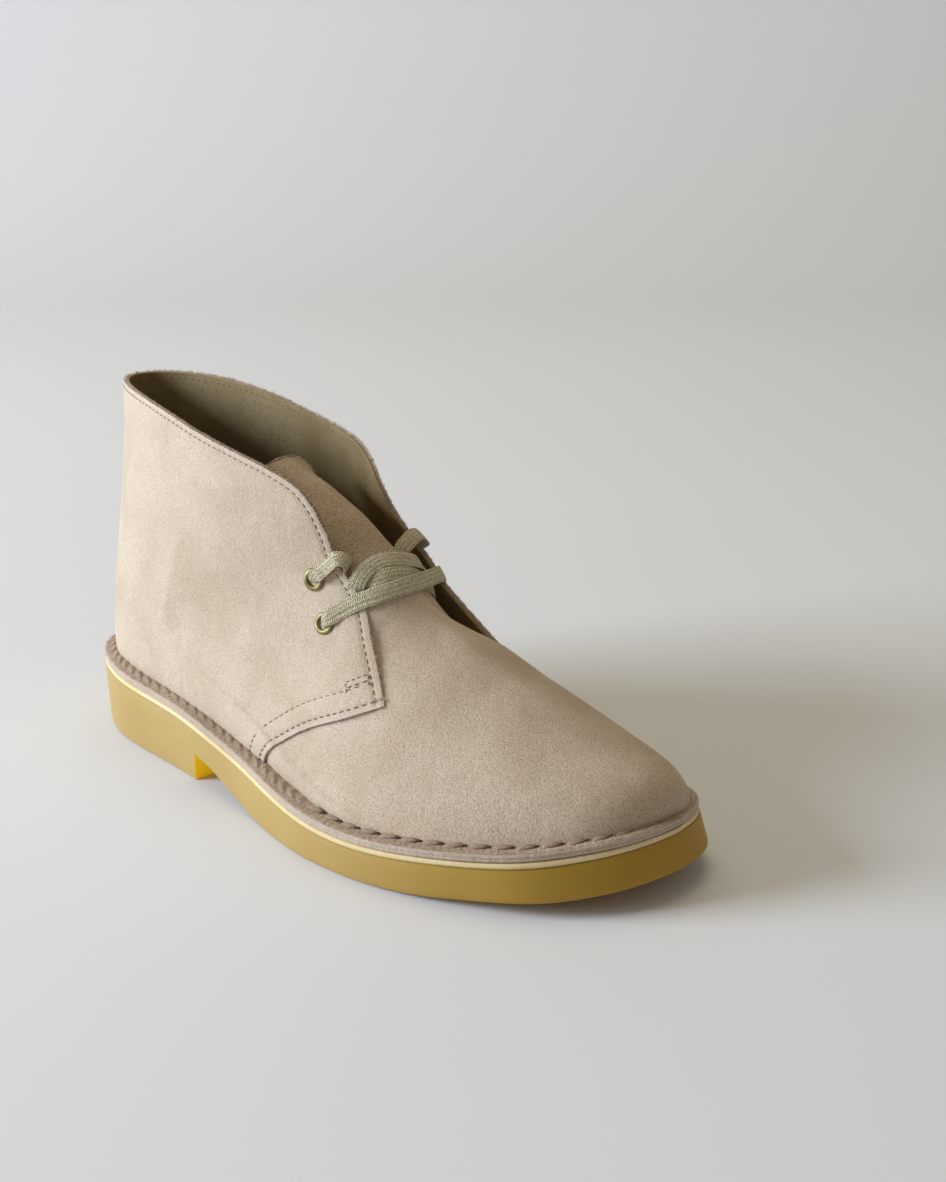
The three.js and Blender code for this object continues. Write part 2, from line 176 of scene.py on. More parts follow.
# %% Suede
def suede(name, light, dark, cut, nap=0.9, depth=0.42):
    """Napped leather in two tones, with a paler cut edge; nap is in mm, and depth sets the painted shade in
    its hollows.
    """
    material, tree, output = new_material(name)
    place = add(tree, "TexCoord").outputs["Object"]
    toeward = add(tree, "MapRange", {0: add(tree, "SeparateXYZ", {0: place}), 1: -0.02, 2: 0.11}, **RAMP)
    cloud = add(tree, "TexNoise", {"Vector": place, "Scale": 33, "Detail": 3, "Distortion": 0.6})
    mottle = add(tree, "TexNoise", {"Vector": place, "Scale": 250, "Detail": 4})
    grain = add(tree, "TexNoise", {"Vector": place, "Scale": 1000 / nap, "Detail": 3, "Roughness": 0.7})
    patchy = add(tree, "MapRange", {0: cloud, 1: 0.3, 2: 0.7}, **RAMP)
    body = add(tree, "Mix", {0: patchy, 6: light, 7: dark}, **COLOURS)
    body = add(tree, "Mix", {0: add(tree, "Math", {0: mottle, 1: 0.6}, **TIMES), 6: body, 7: dark}, **COLOURS)
    # Painted shade: the colour is darkened in the hollows between the fibres, and more so towards the toe,
    # where the light grazes.
    hollow_shade = add(tree, "MapRange", {0: grain, 1: 0.62, 2: 0.3}, **RAMP)
    contrast = add(tree, "MapRange", {0: toeward, 3: depth, 4: depth + 0.22})
    shade = add(tree, "Mix", {0: 1.0, 6: body, 7: "#a08c76"}, blend_type="MULTIPLY", **COLOURS)
    deep = add(tree, "Math", {0: hollow_shade, 1: contrast}, **TIMES)
    body = add(tree, "Mix", {0: deep, 6: body, 7: shade}, **COLOURS)
    tips = add(tree, "MapRange", {0: grain, 1: 0.55, 2: 0.8}, **RAMP)
    body = add(tree, "Mix", {0: add(tree, "Math", {0: tips, 1: 0.2}, **TIMES), 6: body, 7: cut}, **COLOURS)
    from_edge = add(tree, "SeparateXYZ", {0: add(tree, "UVMap", uv_map="edge")})
    rim = add(tree, "MapRange", {0: from_edge, 1: 0.013, 2: 0.003}, **RAMP)
    body = add(tree, "Mix", {0: add(tree, "Math", {0: rim, 1: 0.45}, **TIMES), 6: body, 7: cut}, **COLOURS)
    low = add(tree, "Bump", {"Strength": 0.35, "Distance": 0.0012, "Height": mottle})
    settings = {
        "Base Color": body,
        "Roughness": 0.95,
        "Specular IOR Level": 0.12,
        "Sheen Weight": 0.14,
        "Sheen Roughness": 0.55,
        "Sheen Tint": "#f3e6d6",
        "Normal": add(tree, "Bump", {"Strength": 0.9, "Distance": 0.0007, "Height": grain, "Normal": low}),
    }
    shader = add(tree, "BsdfPrincipled", settings)
    tree.links.new(shader.outputs[0], output.inputs[0])
    return material


body_suede = suede("sand_suede", "#e3d3bc", "#d2bfa6", "#e6d4c3", nap=0.56)
# The tongue's suede is darker than the body's: partly its own browner tone, and partly painted shade, as the
# tongue lies in shade between the facings.
tongue_suede = suede("tongue_suede", "#d2bfa4", "#bfaa8e", "#d8c9b3", nap=0.9, depth=0.6)
back_welt_suede = suede("heel_welt_split_leather", "#c4b19c", "#ad9882", "#d4c3b0", nap=0.9)
fringe = suede("suede_fringe", "#d8c5b2", "#c2ab95", "#e2d3c3", nap=0.8)
welt_suede = suede("welt_split_leather", "#cdb9a3", "#b4a089", "#dccdbb", nap=0.7)
print("suedes:", [body_suede.name, tongue_suede.name, back_welt_suede.name, fringe.name, welt_suede.name])

# %% [markdown]
# The other finishes. The lining is smooth tanned leather, so it has fine pores and a low gloss.
# Gum rubber is moulded, dense and slightly see-through: light that enters it comes out nearby, so
# it gets subsurface scattering and is warmest where it is thin. The heel's front face is lit from
# behind, through the heel, which the shading of a surface alone can't show: it glows a little.

# %% Leather, rubber and foam
def pored(name, light, dark, pore, roughness, depth, scatter=0.0, gloss=0.5, toe=None, glow=0.0):
    """A two-tone material with fine pores, leather or rubber; toe, if given, is a painted shade: a darker,
    warmer tone towards the toe.
    """
    material, tree, output = new_material(name)
    place = add(tree, "TexCoord").outputs["Object"]
    cloud = add(tree, "TexNoise", {"Vector": place, "Scale": 40, "Detail": 4})
    pores = add(tree, "TexVoronoi", {"Vector": place, "Scale": 1000 / pore, "Randomness": 0.9})
    fine = add(tree, "TexNoise", {"Vector": place, "Scale": 600, "Detail": 5})
    patchy = add(tree, "MapRange", {0: cloud, 1: 0.3, 2: 0.7}, **RAMP)
    body = add(tree, "Mix", {0: patchy, 6: light, 7: dark}, **COLOURS)
    specks = add(tree, "MapRange", {0: fine, 1: 0.45, 2: 0.75}, **RAMP)
    body = add(tree, "Mix", {0: specks, 6: body, 7: dark}, **COLOURS)
    # Painted shade: towards the toe the colour turns darker and warmer, as the toe faces away from the light.
    if toe:
        toeward = add(tree, "MapRange", {0: add(tree, "SeparateXYZ", {0: place}), 1: 0.01, 2: 0.16}, **RAMP)
        body = add(tree, "Mix", {0: toeward, 6: body, 7: toe}, **COLOURS)
    rough = add(tree, "MapRange", {0: fine, 3: roughness - 0.06, 4: roughness + 0.08})
    bump = add(tree, "Bump", {"Strength": 0.5, "Distance": depth * MM, "Height": pores})
    bump = add(tree, "Bump", {"Strength": 0.4, "Distance": depth * MM, "Height": fine, "Normal": bump})
    settings = {
        "Base Color": body,
        "Roughness": rough,
        "Specular IOR Level": gloss,
        "Subsurface Weight": scatter,
        "Subsurface Radius": (1.0, 0.6, 0.12),
        "Subsurface Scale": 0.004,
        "Emission Color": body,
        "Emission Strength": glow,
        "Normal": bump,
    }
    shader = add(tree, "BsdfPrincipled", settings)
    tree.links.new(shader.outputs[0], output.inputs[0])
    return material


lining_leather = pored("olive_lining_leather", "#9c8a66", "#86744e", 0.9, 0.6, 0.12, gloss=0.3)
sock_leather = pored("insole_leather", "#8f7f63", "#7a6a4f", 1.0, 0.65, 0.12)
# The gum rubber's darker, warmer toe tone is painted shade.
gum_rubber = pored("gum_rubber", "#b2975b", "#ae9255", 2.0, 0.45, 0.01, scatter=0.3, gloss=0.3, toe="#ab8728")
glowing_rubber = pored("gum_rubber_lit_through", "#e6b71c", "#dcaa12", 2.0, 0.45, 0.01, gloss=0.3, glow=0.45)
cream_rubber = pored("cream_foam_rubber", "#ead6a8", "#dcc58f", 0.8, 0.8, 0.1, scatter=0.1, gloss=0.2)

# %% [markdown]
# The lace is woven flat: its yarns run slantwise and turn back at ribs along its length, which
# gives the herringbone. The lace mesh has a UV map in millimetres, so the weave is a sum of two
# sines of it: one across the slant, and one along the ribs.

# %% Woven cotton
YARN = 0.95  # mm from yarn to yarn
RIB = 1.55  # mm from rib to rib
FOLD = 1.1  # mm between the turns of the herringbone


def woven(name, light, dark):
    """A flat herringbone weave on the piece's own map, which is in millimetres."""
    material, tree, output = new_material(name)
    cloth = add(tree, "SeparateXYZ", {0: add(tree, "UVMap", uv_map="weave")})
    run, across = cloth.outputs[0], cloth.outputs[1]
    fold = add(tree, "Math", {0: across, 1: FOLD}, operation="PINGPONG")
    slant = add(tree, "Math", {0: fold, 1: run}, operation="ADD")
    yarn = add(tree, "Math", {0: slant, 1: 2 * np.pi / YARN}, **TIMES)
    yarn = add(tree, "Math", {0: yarn}, operation="SINE")
    rib = add(tree, "Math", {0: across, 1: 2 * np.pi / RIB}, **TIMES)
    rib = add(tree, "Math", {0: rib}, operation="COSINE")
    height = add(tree, "Math", {0: rib, 1: 0.8, 2: yarn}, operation="MULTIPLY_ADD")
    place = add(tree, "TexCoord").outputs["Object"]
    fibre = add(tree, "TexNoise", {"Vector": place, "Scale": 1500, "Detail": 3})
    # Painted shade: the low parts of the weave are darker, down to the dark colour.
    weave_shade = add(tree, "MapRange", {0: height, 1: -1.8, 2: 0.0}, **RAMP)
    body = add(tree, "Mix", {0: weave_shade, 6: dark, 7: light}, **COLOURS)
    fuzz = add(tree, "MapRange", {0: fibre, 1: 0.62, 2: 0.3}, **RAMP)
    body = add(tree, "Mix", {0: fuzz, 6: body, 7: dark}, **COLOURS)
    weave = add(tree, "Bump", {"Strength": 0.8, "Distance": 0.00025, "Height": height})
    settings = {
        "Base Color": body,
        "Roughness": 0.88,
        "Specular IOR Level": 0.2,
        "Sheen Weight": 0.25,
        "Sheen Roughness": 0.5,
        "Normal": add(tree, "Bump", {"Strength": 0.4, "Distance": 0.0002, "Height": fibre, "Normal": weave}),
    }
    shader = add(tree, "BsdfPrincipled", settings)
    tree.links.new(shader.outputs[0], output.inputs[0])
    return material


lace_cotton = woven("sage_woven_cotton", "#e6dcba", "#a39a75")

# %% [markdown]
# Antique brass is brass darkened in a bath and rubbed back, so its colour and its gloss change in
# patches. Thread is twisted and waxed: one dull colour with fine stripes at its twist.

# %% Brass and thread
brass, tree, output = new_material("antique_brass")
place = add(tree, "TexCoord").outputs["Object"]
patches = add(tree, "TexNoise", {"Vector": place, "Scale": 350, "Detail": 5})
worn = add(tree, "MapRange", {0: patches, 1: 0.35, 2: 0.7}, **RAMP)
settings = {
    "Base Color": add(tree, "Mix", {0: worn, 6: "#7e744b", 7: "#978c60"}, **COLOURS),
    "Metallic": 0.85,
    "Roughness": add(tree, "MapRange", {0: patches, 3: 0.6, 4: 0.45}),
    "Normal": add(tree, "Bump", {"Strength": 0.2, "Distance": 0.0002, "Height": patches}),
}
shader = add(tree, "BsdfPrincipled", settings)
tree.links.new(shader.outputs[0], output.inputs[0])


def thread(name, light, dark):
    """Dull twisted thread."""
    material, tree, output = new_material(name)
    place = add(tree, "TexCoord").outputs["Object"]
    fibre = add(tree, "TexNoise", {"Vector": place, "Scale": 1400, "Detail": 4})
    twist = add(tree, "MapRange", {0: fibre, 1: 0.3, 2: 0.7}, **RAMP)
    tone = add(tree, "Mix", {0: twist, 6: dark, 7: light}, **COLOURS)
    bump = add(tree, "Bump", {"Strength": 0.6, "Distance": 0.0003, "Height": fibre})
    shader = add(tree, "BsdfPrincipled", {"Base Color": tone, "Roughness": 0.8, "Normal": bump})
    tree.links.new(shader.outputs[0], output.inputs[0])
    return material


seam_thread = thread("brown_seam_thread", "#8d7664", "#6d5849")
welt_thread = thread("rose_brown_welt_cord", "#a58f7c", "#866f5e")
# A dark, dull material that stands for the shade inside holes: painted shade in the eyelets and the welt's
# needle holes.
hole_shadow = thread("needle_hole_shadow", "#4d3d31", "#3a2c22")
print("threads and brass:", [m.name for m in (brass, seam_thread, welt_thread, hole_shadow)])

# %% [markdown]
# Every curved piece here is made in the same way, as a pattern cutter would: a flat grid is the
# cloth, and one rule says where each of its corners goes on the boot. `wrapped` does this. It
# keeps each corner's own place in the cloth as maps, and closes a grid whose edges meet.

# %% Wrapping a flat grid
def wrapped(columns, rows, rule, maps=None):
    """A bmesh of a grid whose corners (u, v), both 0 to 1, go where rule(u, v) says, in millimetres."""
    cloth = bmesh.new()
    bmesh.ops.create_grid(cloth, x_segments=columns, y_segments=rows, size=0.5)
    u = np.array([corner.co.x for corner in cloth.verts]) + 0.5
    v = np.array([corner.co.y for corner in cloth.verts]) + 0.5
    for corner, place in zip(cloth.verts, rule(u, v)):
        corner.co = Vector(place) * MM
    for name, values in (maps(u, v) if maps else {}).items():
        layer = cloth.loops.layers.uv.new(name)
        for face in cloth.faces:
            for loop in face.loops:
                loop[layer].uv = values[loop.vert.index]
    bmesh.ops.remove_doubles(cloth, verts=cloth.verts, dist=0.02 * MM)
    return cloth


def finish_piece(shape, name, materials, replaces=(), closed=False):
    """Turns a bmesh into a smooth object that rides on the boot."""
    if closed:
        bmesh.ops.recalc_face_normals(shape, faces=shape.faces)
    mesh = bpy.data.meshes.new(name)
    shape.to_mesh(mesh)
    shape.free()
    mesh.shade_smooth()
    for material in materials:
        mesh.materials.append(material)
    piece = bpy.data.objects.new(name, mesh)
    scene.collection.objects.link(piece)
    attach(piece, "root")
    if replaces:
        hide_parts(*replaces)
    print(name, len(mesh.polygons), "faces")
    return piece


def thicken(piece, thickness, edge=0.0):
    """Gives a sheet its thickness inwards, and rounds its rim."""
    wall = piece.modifiers.new("thickness", "SOLIDIFY")
    wall.thickness = thickness * MM
    wall.offset = -1
    wall.use_even_offset = False
    if edge:
        rim = piece.modifiers.new("rounded rim", "BEVEL")
        rim.width = edge * MM
        rim.segments = 2
        rim.limit_method = "ANGLE"
        rim.angle_limit = np.radians(50)


# %% [markdown]
# Smooth lines through a few points are used all over the boot: the sole's outline, the collar,
# the laces. `smooth_line` joins the points with curves that pass through each one, and `at_share`
# picks the points at given shares of such a line's length.

# %% Smooth lines
def smooth_line(points, closed=False, steps=24):
    """A dense line through points, rounded between them without overshooting."""
    points = np.array(points, float)
    if closed:
        ring = np.vstack([points[-1:], points, points[:2]])
    else:
        ring = np.vstack([2 * points[0] - points[1], points, 2 * points[-1] - points[-2]])
    share = np.linspace(0, 1, steps, endpoint=False)[:, None]
    pieces = []
    for a, b, c, d in zip(ring, ring[1:], ring[2:], ring[3:]):
        ab, bc, cd = (np.sqrt(np.linalg.norm(q - p)) for p, q in ((a, b), (b, c), (c, d)))
        leave = ((b - a) / ab - (c - a) / (ab + bc) + (c - b) / bc) * bc
        reach = ((c - b) / bc - (d - b) / (bc + cd) + (d - c) / cd) * bc
        pieces.append(
            (2 * share**3 - 3 * share**2 + 1) * b
            + (share**3 - 2 * share**2 + share) * leave
            + (3 * share**2 - 2 * share**3) * c
            + (share**3 - share**2) * reach
        )
    return np.vstack([*pieces, points[:1] if closed else points[-1:]])


def run_of(line):
    """The distance along a line at each of its points."""
    return np.concatenate([[0], np.cumsum(np.linalg.norm(np.diff(line, axis=0), axis=1))])


def at_share(line, share, run=None):
    """The line's points at shares of its length."""
    run = run_of(line) if run is None else run
    return np.stack([np.interp(np.asarray(share) * run[-1], run, column) for column in line.T], -1)


def ease(value):
    """0 below 0, 1 above 1, and smooth between."""
    value = np.clip(value, 0, 1)
    return value * value * (3 - 2 * value)


# %% [markdown]
# The last is the foot-shaped form that a shoe is made over, and its sizes give every panel of the
# upper its shape. Each row of the table is one leaning section, from the toe back and up the shaft:
# its top and low points in side view, the middle of the foot there, its half width, and how round
# it is. A point of the surface is a place along the rows and an angle round the section.

# %% The last
LAST_COLUMNS = "top_x top_z low_x low_z top_mid low_mid half wide top_power low_power".split()
LAST = np.array([
    (143.2, 33, 143.8, 20, 24, 25, 0, 0.35, 2, 2.5),
    (142, 38.5, 142.6, 16, 23, 23.5, 9, 0.35, 2, 2.5),
    (135.5, 43.5, 137, 13, 20.5, 19.5, 21, 0.32, 2, 2.5),
    (124, 48, 125, 11, 18, 14.5, 32, 0.3, 1.95, 2.5),
    (106, 53.5, 107, 9, 15.5, 9, 39.8, 0.28, 1.9, 2.5),
    (82, 62, 83, 7, 13.5, 3.5, 45.2, 0.26, 1.85, 2.5),
    (58, 71.8, 57, 5, 12, 0, 48.2, 0.25, 1.8, 2.5),
    (40, 79.5, 33, 5, 11.5, -1.5, 47.6, 0.26, 1.75, 2.6),
    (30, 87, 5, 7, 11, -1.5, 43.6, 0.28, 1.75, 2.8),
    (25, 95, -28, 10, 11, -1, 38.6, 0.3, 1.75, 2.8),
    (23, 104, -68, 12, 11, 1.5, 36, 0.32, 1.8, 2.8),
    (22, 113, -110, 14, 10.5, 5, 35.6, 0.34, 1.85, 2.9),
    (22, 122, -139, 22, 10, 7, 35, 0.36, 1.9, 2.8),
    (23, 132, -146, 48, 9, 7, 33, 0.4, 1.95, 2.5),
    (24, 142, -145.8, 82, 8, 7, 30, 0.45, 2, 2.2),
    (26, 152, -143, 117, 6.5, 6.5, 27.7, 0.48, 2, 2),
    (28, 162, -139.2, 152, 5, 6, 26.7, 0.48, 2, 2),
    (30, 172, -137, 175, 5, 6, 26.7, 0.48, 2, 2),
])
AT_NOSE = np.where([c == "half" for c in LAST_COLUMNS], -1, 1)  # the form is mirrored at its nose


def last_row(place):
    """The sizes of the last at places between its rows, smoothly joined."""
    place = np.clip(place, 0, len(LAST) - 1)
    i = np.minimum(place.astype(int), len(LAST) - 2)
    share = (place - i)[..., None]
    here, ahead = LAST[i], LAST[i + 1]
    before = np.where((i > 0)[..., None], LAST[np.maximum(i - 1, 0)], ahead * AT_NOSE)
    after = np.where((i + 2 < len(LAST))[..., None], LAST[np.minimum(i + 2, len(LAST) - 1)], 2 * ahead - here)
    bend = 2 * before - 5 * here + 4 * ahead - after
    twist = 3 * here - before - 3 * ahead + after
    row = here + 0.5 * share * (ahead - before + share * (bend + share * twist))
    return dict(zip(LAST_COLUMNS, np.moveaxis(row, -1, 0)))


def last_point(place, angle):
    """Points of the last: angle is a quarter turn down at the feather and up at the ridge."""
    row = last_row(place)
    up, out = np.sin(angle), np.cos(angle)
    power = np.where(up >= 0, row["top_power"], row["low_power"])
    reach = np.abs(up) ** (2 / power)
    height = np.where(up >= 0, row["wide"] + (1 - row["wide"]) * reach, row["wide"] * (1 - reach))
    across = np.abs(out) ** (2 / power) * np.where(out >= 0, -1, 1)
    rise = np.sqrt(np.clip((height - row["wide"]) / (1 - row["wide"]), 0, 1))
    middle = row["low_mid"] + (row["top_mid"] - row["low_mid"]) * rise
    x = row["low_x"] + (row["top_x"] - row["low_x"]) * height
    z = row["low_z"] + (row["top_z"] - row["low_z"]) * height
    return np.stack([x, middle + row["half"] * across, z], -1)


def last_normal(place, angle):
    """The direction straight out of the last."""
    step = 0.01
    ahead = last_point(np.minimum(place + step, len(LAST) - 1), angle)
    along = ahead - last_point(np.maximum(place - step, 0), angle)
    round_it = last_point(place, angle + step) - last_point(place, angle - step)
    out = np.cross(round_it, along)
    return out / np.maximum(np.linalg.norm(out, axis=-1, keepdims=True), 1e-9)


def find(x, z, side):
    """The place and angle of side view points, on the outer (-1) or the inner (1) side."""
    x, z = np.broadcast_arrays(np.asarray(x, float), np.asarray(z, float))
    low, high = np.zeros(x.shape), np.full(x.shape, len(LAST) - 1.0)

    def lean(place):
        row = last_row(place)
        lean_x, lean_z = row["top_x"] - row["low_x"], row["top_z"] - row["low_z"]
        return lean_x * (z - row["low_z"]) - lean_z * (x - row["low_x"])

    target = lean(high) > 0
    for _ in range(36):
        middle = (low + high) / 2
        same = (lean(middle) > 0) == target
        high, low = np.where(same, middle, high), np.where(same, low, middle)
    row = last_row(low)
    height = np.clip((z - row["low_z"]) / (row["top_z"] - row["low_z"]), 0, 1)
    above = height >= row["wide"]
    reach = np.where(above, (height - row["wide"]) / (1 - row["wide"]), 1 - height / row["wide"])
    power = np.where(above, row["top_power"], row["low_power"])
    rise = np.arcsin(np.clip(reach, 0, 1) ** (power / 2)) * np.where(above, 1, -1)
    return low, rise if side < 0 else np.pi - rise


print("last:", last_point(np.array([0.0, 6.0]), np.array([1.5, 0.0])).round(1).tolist())

# %% [markdown]
# The sole is three layers, glued: gum rubber with a heel, a thin cream layer, and the welt. All
# share one outline and one curved top line. The outline is read as two edges, outer and inner, at
# stations along x that crowd together at heel and toe, so that both ends come out round.

# %% The sole's lines
OUTLINE = smooth_line([
    (-151, 7), (-142, -18), (-118, -32), (-62, -39), (-23, -45), (32, -55.5), (78, -50), (113, -34),
    (131.2, -16), (142.6, 2.6), (146.6, 21), (142, 39), (130, 50.5), (107, 55), (76, 55.5), (21, 51),
    (-30, 39), (-70, 41), (-112, 45), (-142.5, 32),
], closed=True)
RUBBER_TOP = smooth_line([
    (-160, 27.3), (-110, 25.5), (-70, 23.8), (-30, 19.7), (10, 15), (50, 12.5), (90, 15.4), (125, 19.1),
    (160, 26),
])
TREAD = smooth_line([
    (-53.9, 11), (-42, 9.4), (-28, 5.5), (-15, 2), (-3, 0.3), (4, 0), (55, 0), (75, 0.8), (90, 2), (110, 4.2),
    (125, 6), (140, 9), (160, 14),
])
BREAST = -54  # where the heel ends
WALL_TOP = 24  # the wall's lean is measured down from here
MIDSOLE_LOW, MIDSOLE_HIGH, FOOT = 0.02, 2.1, 2.4  # heights over the rubber's top line

tangent = np.roll(OUTLINE[:-1], -1, axis=0) - np.roll(OUTLINE[:-1], 1, axis=0)
tangent = np.vstack([tangent, tangent[:1]])
OUTWARD = np.stack([tangent[:, 1], -tangent[:, 0]], -1) / np.linalg.norm(tangent, axis=1, keepdims=True)


def rubber_top(x):
    """The height of the rubber's top face."""
    return np.interp(x, RUBBER_TOP[:, 0], RUBBER_TOP[:, 1])


def tread(x):
    """The height of the sole's underside: the heel, the arch, the ball and the toe spring."""
    return np.where(x < BREAST, 0, np.interp(x, TREAD[:, 0], TREAD[:, 1]))


def lean(x):
    """How far the wall leans out for each millimetre down: out at the toe, in at the heel."""
    return 0.3 * ease((x - 95) / 50) - 0.06 * ease((-x - 105) / 40)


heel_tip, toe_tip = OUTLINE[:, 0].argmin(), OUTLINE[:-1, 0].argmax()
outer_way, inner_way = np.arange(heel_tip, toe_tip + 1), np.arange(heel_tip, toe_tip - len(OUTLINE), -1)
edges = {}
for side, way in ((-1, outer_way), (1, inner_way)):
    way = way % (len(OUTLINE) - 1)
    edges[side] = np.hstack([OUTLINE[way], OUTWARD[way]])
print("outline", run_of(OUTLINE)[-1].round(), "mm round")


def sole_layer(stations, profile, low, high):
    """A closed layer: profile rows are across (-1 to 1), outward, height (0 low, 1 high) and a rise."""
    x_first, x_last = OUTLINE[:, 0].min(), OUTLINE[:, 0].max()
    x = (x_first + x_last) / 2 - (x_last - x_first) / 2 * np.cos(np.linspace(0, np.pi, stations))
    x = np.sort(np.append(x, [BREAST - 0.02, BREAST + 0.12]))
    profile = np.array(profile)

    def rule(u, v):
        at = x[np.rint(u * (len(x) - 1)).astype(int)]
        row = profile[np.rint(v * (len(profile) - 1)).astype(int)]
        sides = [
            np.stack([np.interp(at, edge[:, 0], column) for column in edge.T], -1)
            for edge in (edges[-1], edges[1])
        ]
        share = (row[:, :1] + 1) / 2
        middle = sides[0] * (1 - share) + sides[1] * share
        bottom, top = low(at), high(at)
        z = bottom + (top - bottom) * row[:, 2] + row[:, 3]
        push = row[:, 1] + lean(middle[:, 0]) * np.maximum(WALL_TOP - z, 0) * (np.abs(row[:, 0]) == 1)
        return np.column_stack([middle[:, 0] + middle[:, 2] * push, middle[:, 1] + middle[:, 3] * push, z])

    return wrapped(len(x) - 1, len(profile) - 1, rule)


# %% [markdown]
# The rubber is moulded in one piece with its heel, so its edges are a little round. The profile
# goes once round a cut across the sole: over the top, down the outer wall with its rounded
# corners, back under the tread and up the inner wall. Subdividing the wall keeps its curve smooth.

# %% Gum rubber sole
WALL = [
    (0, 1, 0), (-0.25, 1, -0.12), (0, 1, -0.6), (0, 0.66, 0), (0, 0.33, 0), (0, 0, 1.3), (-0.25, 0, 0.5),
    (-0.8, 0, 0.1),
]


def round_trip(wall, across=(0.66, 0.33, 0)):
    """A closed profile: the outer wall down, the underside, the inner wall up, and the top back."""
    outer = [(-1, *row) for row in wall]
    inner = [(1, *row) for row in reversed(wall)]
    under = [(-a, 0, 0, 0) for a in across] + [(a, 0, 0, 0) for a in reversed(across[:-1])]
    over = [(a, 0, 1, 0) for a in across] + [(-a, 0, 1, 0) for a in reversed(across[:-1])]
    return [*outer, *under, *inner, *over, outer[0]]


rubber = sole_layer(260, round_trip(WALL), tread, rubber_top)
rubber.normal_update()
for face in rubber.faces:
    ahead = face.calc_center_median().x / MM - BREAST
    face.material_index = int(abs(ahead) < 0.6 and abs(face.normal.x) > 0.8)  # the heel's front face
finish_piece(rubber, "gum_rubber_sole", [gum_rubber, glowing_rubber], ["outsole"], closed=True)

# %% [markdown]
# Between the rubber and the welt lies a thin pale layer of foam rubber, which softens the step. It
# is the same closed layer with a low, rounded edge, and it starts a hair above the rubber so that
# the two faces never share a place.

# %% Cream layer
LAYER_EDGE = [(-0.6, 1, 0), (-0.2, 1, -0.3), (-0.15, 0.5, 0), (-0.2, 0, 0.3), (-0.6, 0, 0)]
cream = sole_layer(
    200, round_trip(LAYER_EDGE), lambda x: rubber_top(x) + MIDSOLE_LOW, lambda x: rubber_top(x) + MIDSOLE_HIGH
)
finish_piece(cream, "cream_layer", [cream_rubber], ["midsole"], closed=True)

# %% [markdown]
# The welt is a strip of split leather that shows round the foot. Its cut outer edge has a
# groove between two layers, and its top is fuzzy. Behind the ball of the foot the seam that holds
# it pinches its top into scallops, which overlap like roof tiles. It is one strip wrapped round
# the outline, its profile given as a distance in from the edge and a height.

# %% Welt
WELT_PROFILE = np.array([
    (9.5, 2.5), (0.9, 2.5), (0.15, 2.7), (0.0, 3.2), (0.05, 3.7), (0.25, 3.95), (0.05, 4.2), (0.0, 4.8),
    (0.3, 5.35), (1.0, 5.75), (2.2, 5.9), (2.9, 5.9), (3.4, 5.85), (3.9, 5.85), (4.3, 5.85), (4.9, 5.8),
    (6.0, 5.75), (9.5, 5.6),
])
CORD_START = 27.0  # the cord's first stitch, along x
SCALLOP = 7.0  # pitch of the pinches behind it
HEEL_STRIP = -10.0  # behind this the welt is a second strip of leather
outline_run = run_of(OUTLINE)


def rim_point(share, inward, height):
    """A place by the outline: share of the way round, millimetres inwards, and height over the rubber."""
    place = at_share(OUTLINE, share, outline_run)
    out = at_share(OUTWARD, share, outline_run)
    out /= np.linalg.norm(out, axis=-1, keepdims=True)
    x, y = (place - out * np.asarray(inward)[..., None]).T
    return np.stack([x, y, rubber_top(x) + height], -1)


def behind(share):
    """1 behind the ball of the foot, 0 ahead of it."""
    return ease((CORD_START - at_share(OUTLINE, share, outline_run)[..., 0]) / 8)


def welt_rule(u, v):
    """The welt's surface: u goes round the outline, and v through the profile."""
    inward, height = WELT_PROFILE[np.rint(v * (len(WELT_PROFILE) - 1)).astype(int)].T
    along = u * outline_run[-1]
    back = behind(u)
    phase = (along / SCALLOP + 0.28 * (inward - 3)) % 1
    scale = phase**0.7 * (1 - ease((phase - 0.8) / 0.2))  # rises slowly and drops at once, as roof tiles do
    top = ease((height - 4.9) / 0.6) * ease((inward - 0.2) / 0.8)
    inner = ease((inward - 2) / 2) * (inward < 7)
    height = height + back * inner * (0.85 * scale - 0.1)
    rough = 0.22 * np.sin(along * 1.7) * np.sin(along * 0.61 + inward)
    rough += 0.14 * np.sin(along * 4.1 + height * 3)
    return rim_point(u, inward + rough * (0.3 + 0.7 * top) * (inward < 6), height + 0.5 * rough * top)


def welt_maps(u, v):
    """Only the welt's cut rim is pale."""
    inward = WELT_PROFILE[np.rint(v * (len(WELT_PROFILE) - 1)).astype(int), 0]
    return {"edge": np.column_stack([np.where(inward < 0.8, 0.002, 0.05), u])}


welt = wrapped(1400, len(WELT_PROFILE) - 1, welt_rule, welt_maps)
for face in welt.faces:
    face.material_index = int(face.calc_center_median().x < HEEL_STRIP * MM)
finish_piece(welt, "welt_strip", [welt_suede, back_welt_suede], ["welt"], closed=True)

# %% [markdown]
# The vamp is one piece of suede pulled over the toe and up to the throat. Across, it runs from
# the feather, where it meets the welt, over the ridge and down to the feather on the other side.
# Worn and lasted leather is never quite even, so slow noise lifts it by some tenths of a millimetre.

# %% Vamp
BEND_PLACE = 8.0  # from here the vamp leaves the last and follows the tongue
THROAT_STEP = np.array([-11.0, 0, 11.6])  # how far it goes for each place after that
THROAT_PLACE = 8.85  # its free end at the ridge, under the lace bar
SIDE_PLACE = 8.6  # its ends under the quarters
FLEX_X, FLEX_WIDE, FLEX_DEEP = 74, 9, 0.45  # the faint trough where the toes bend


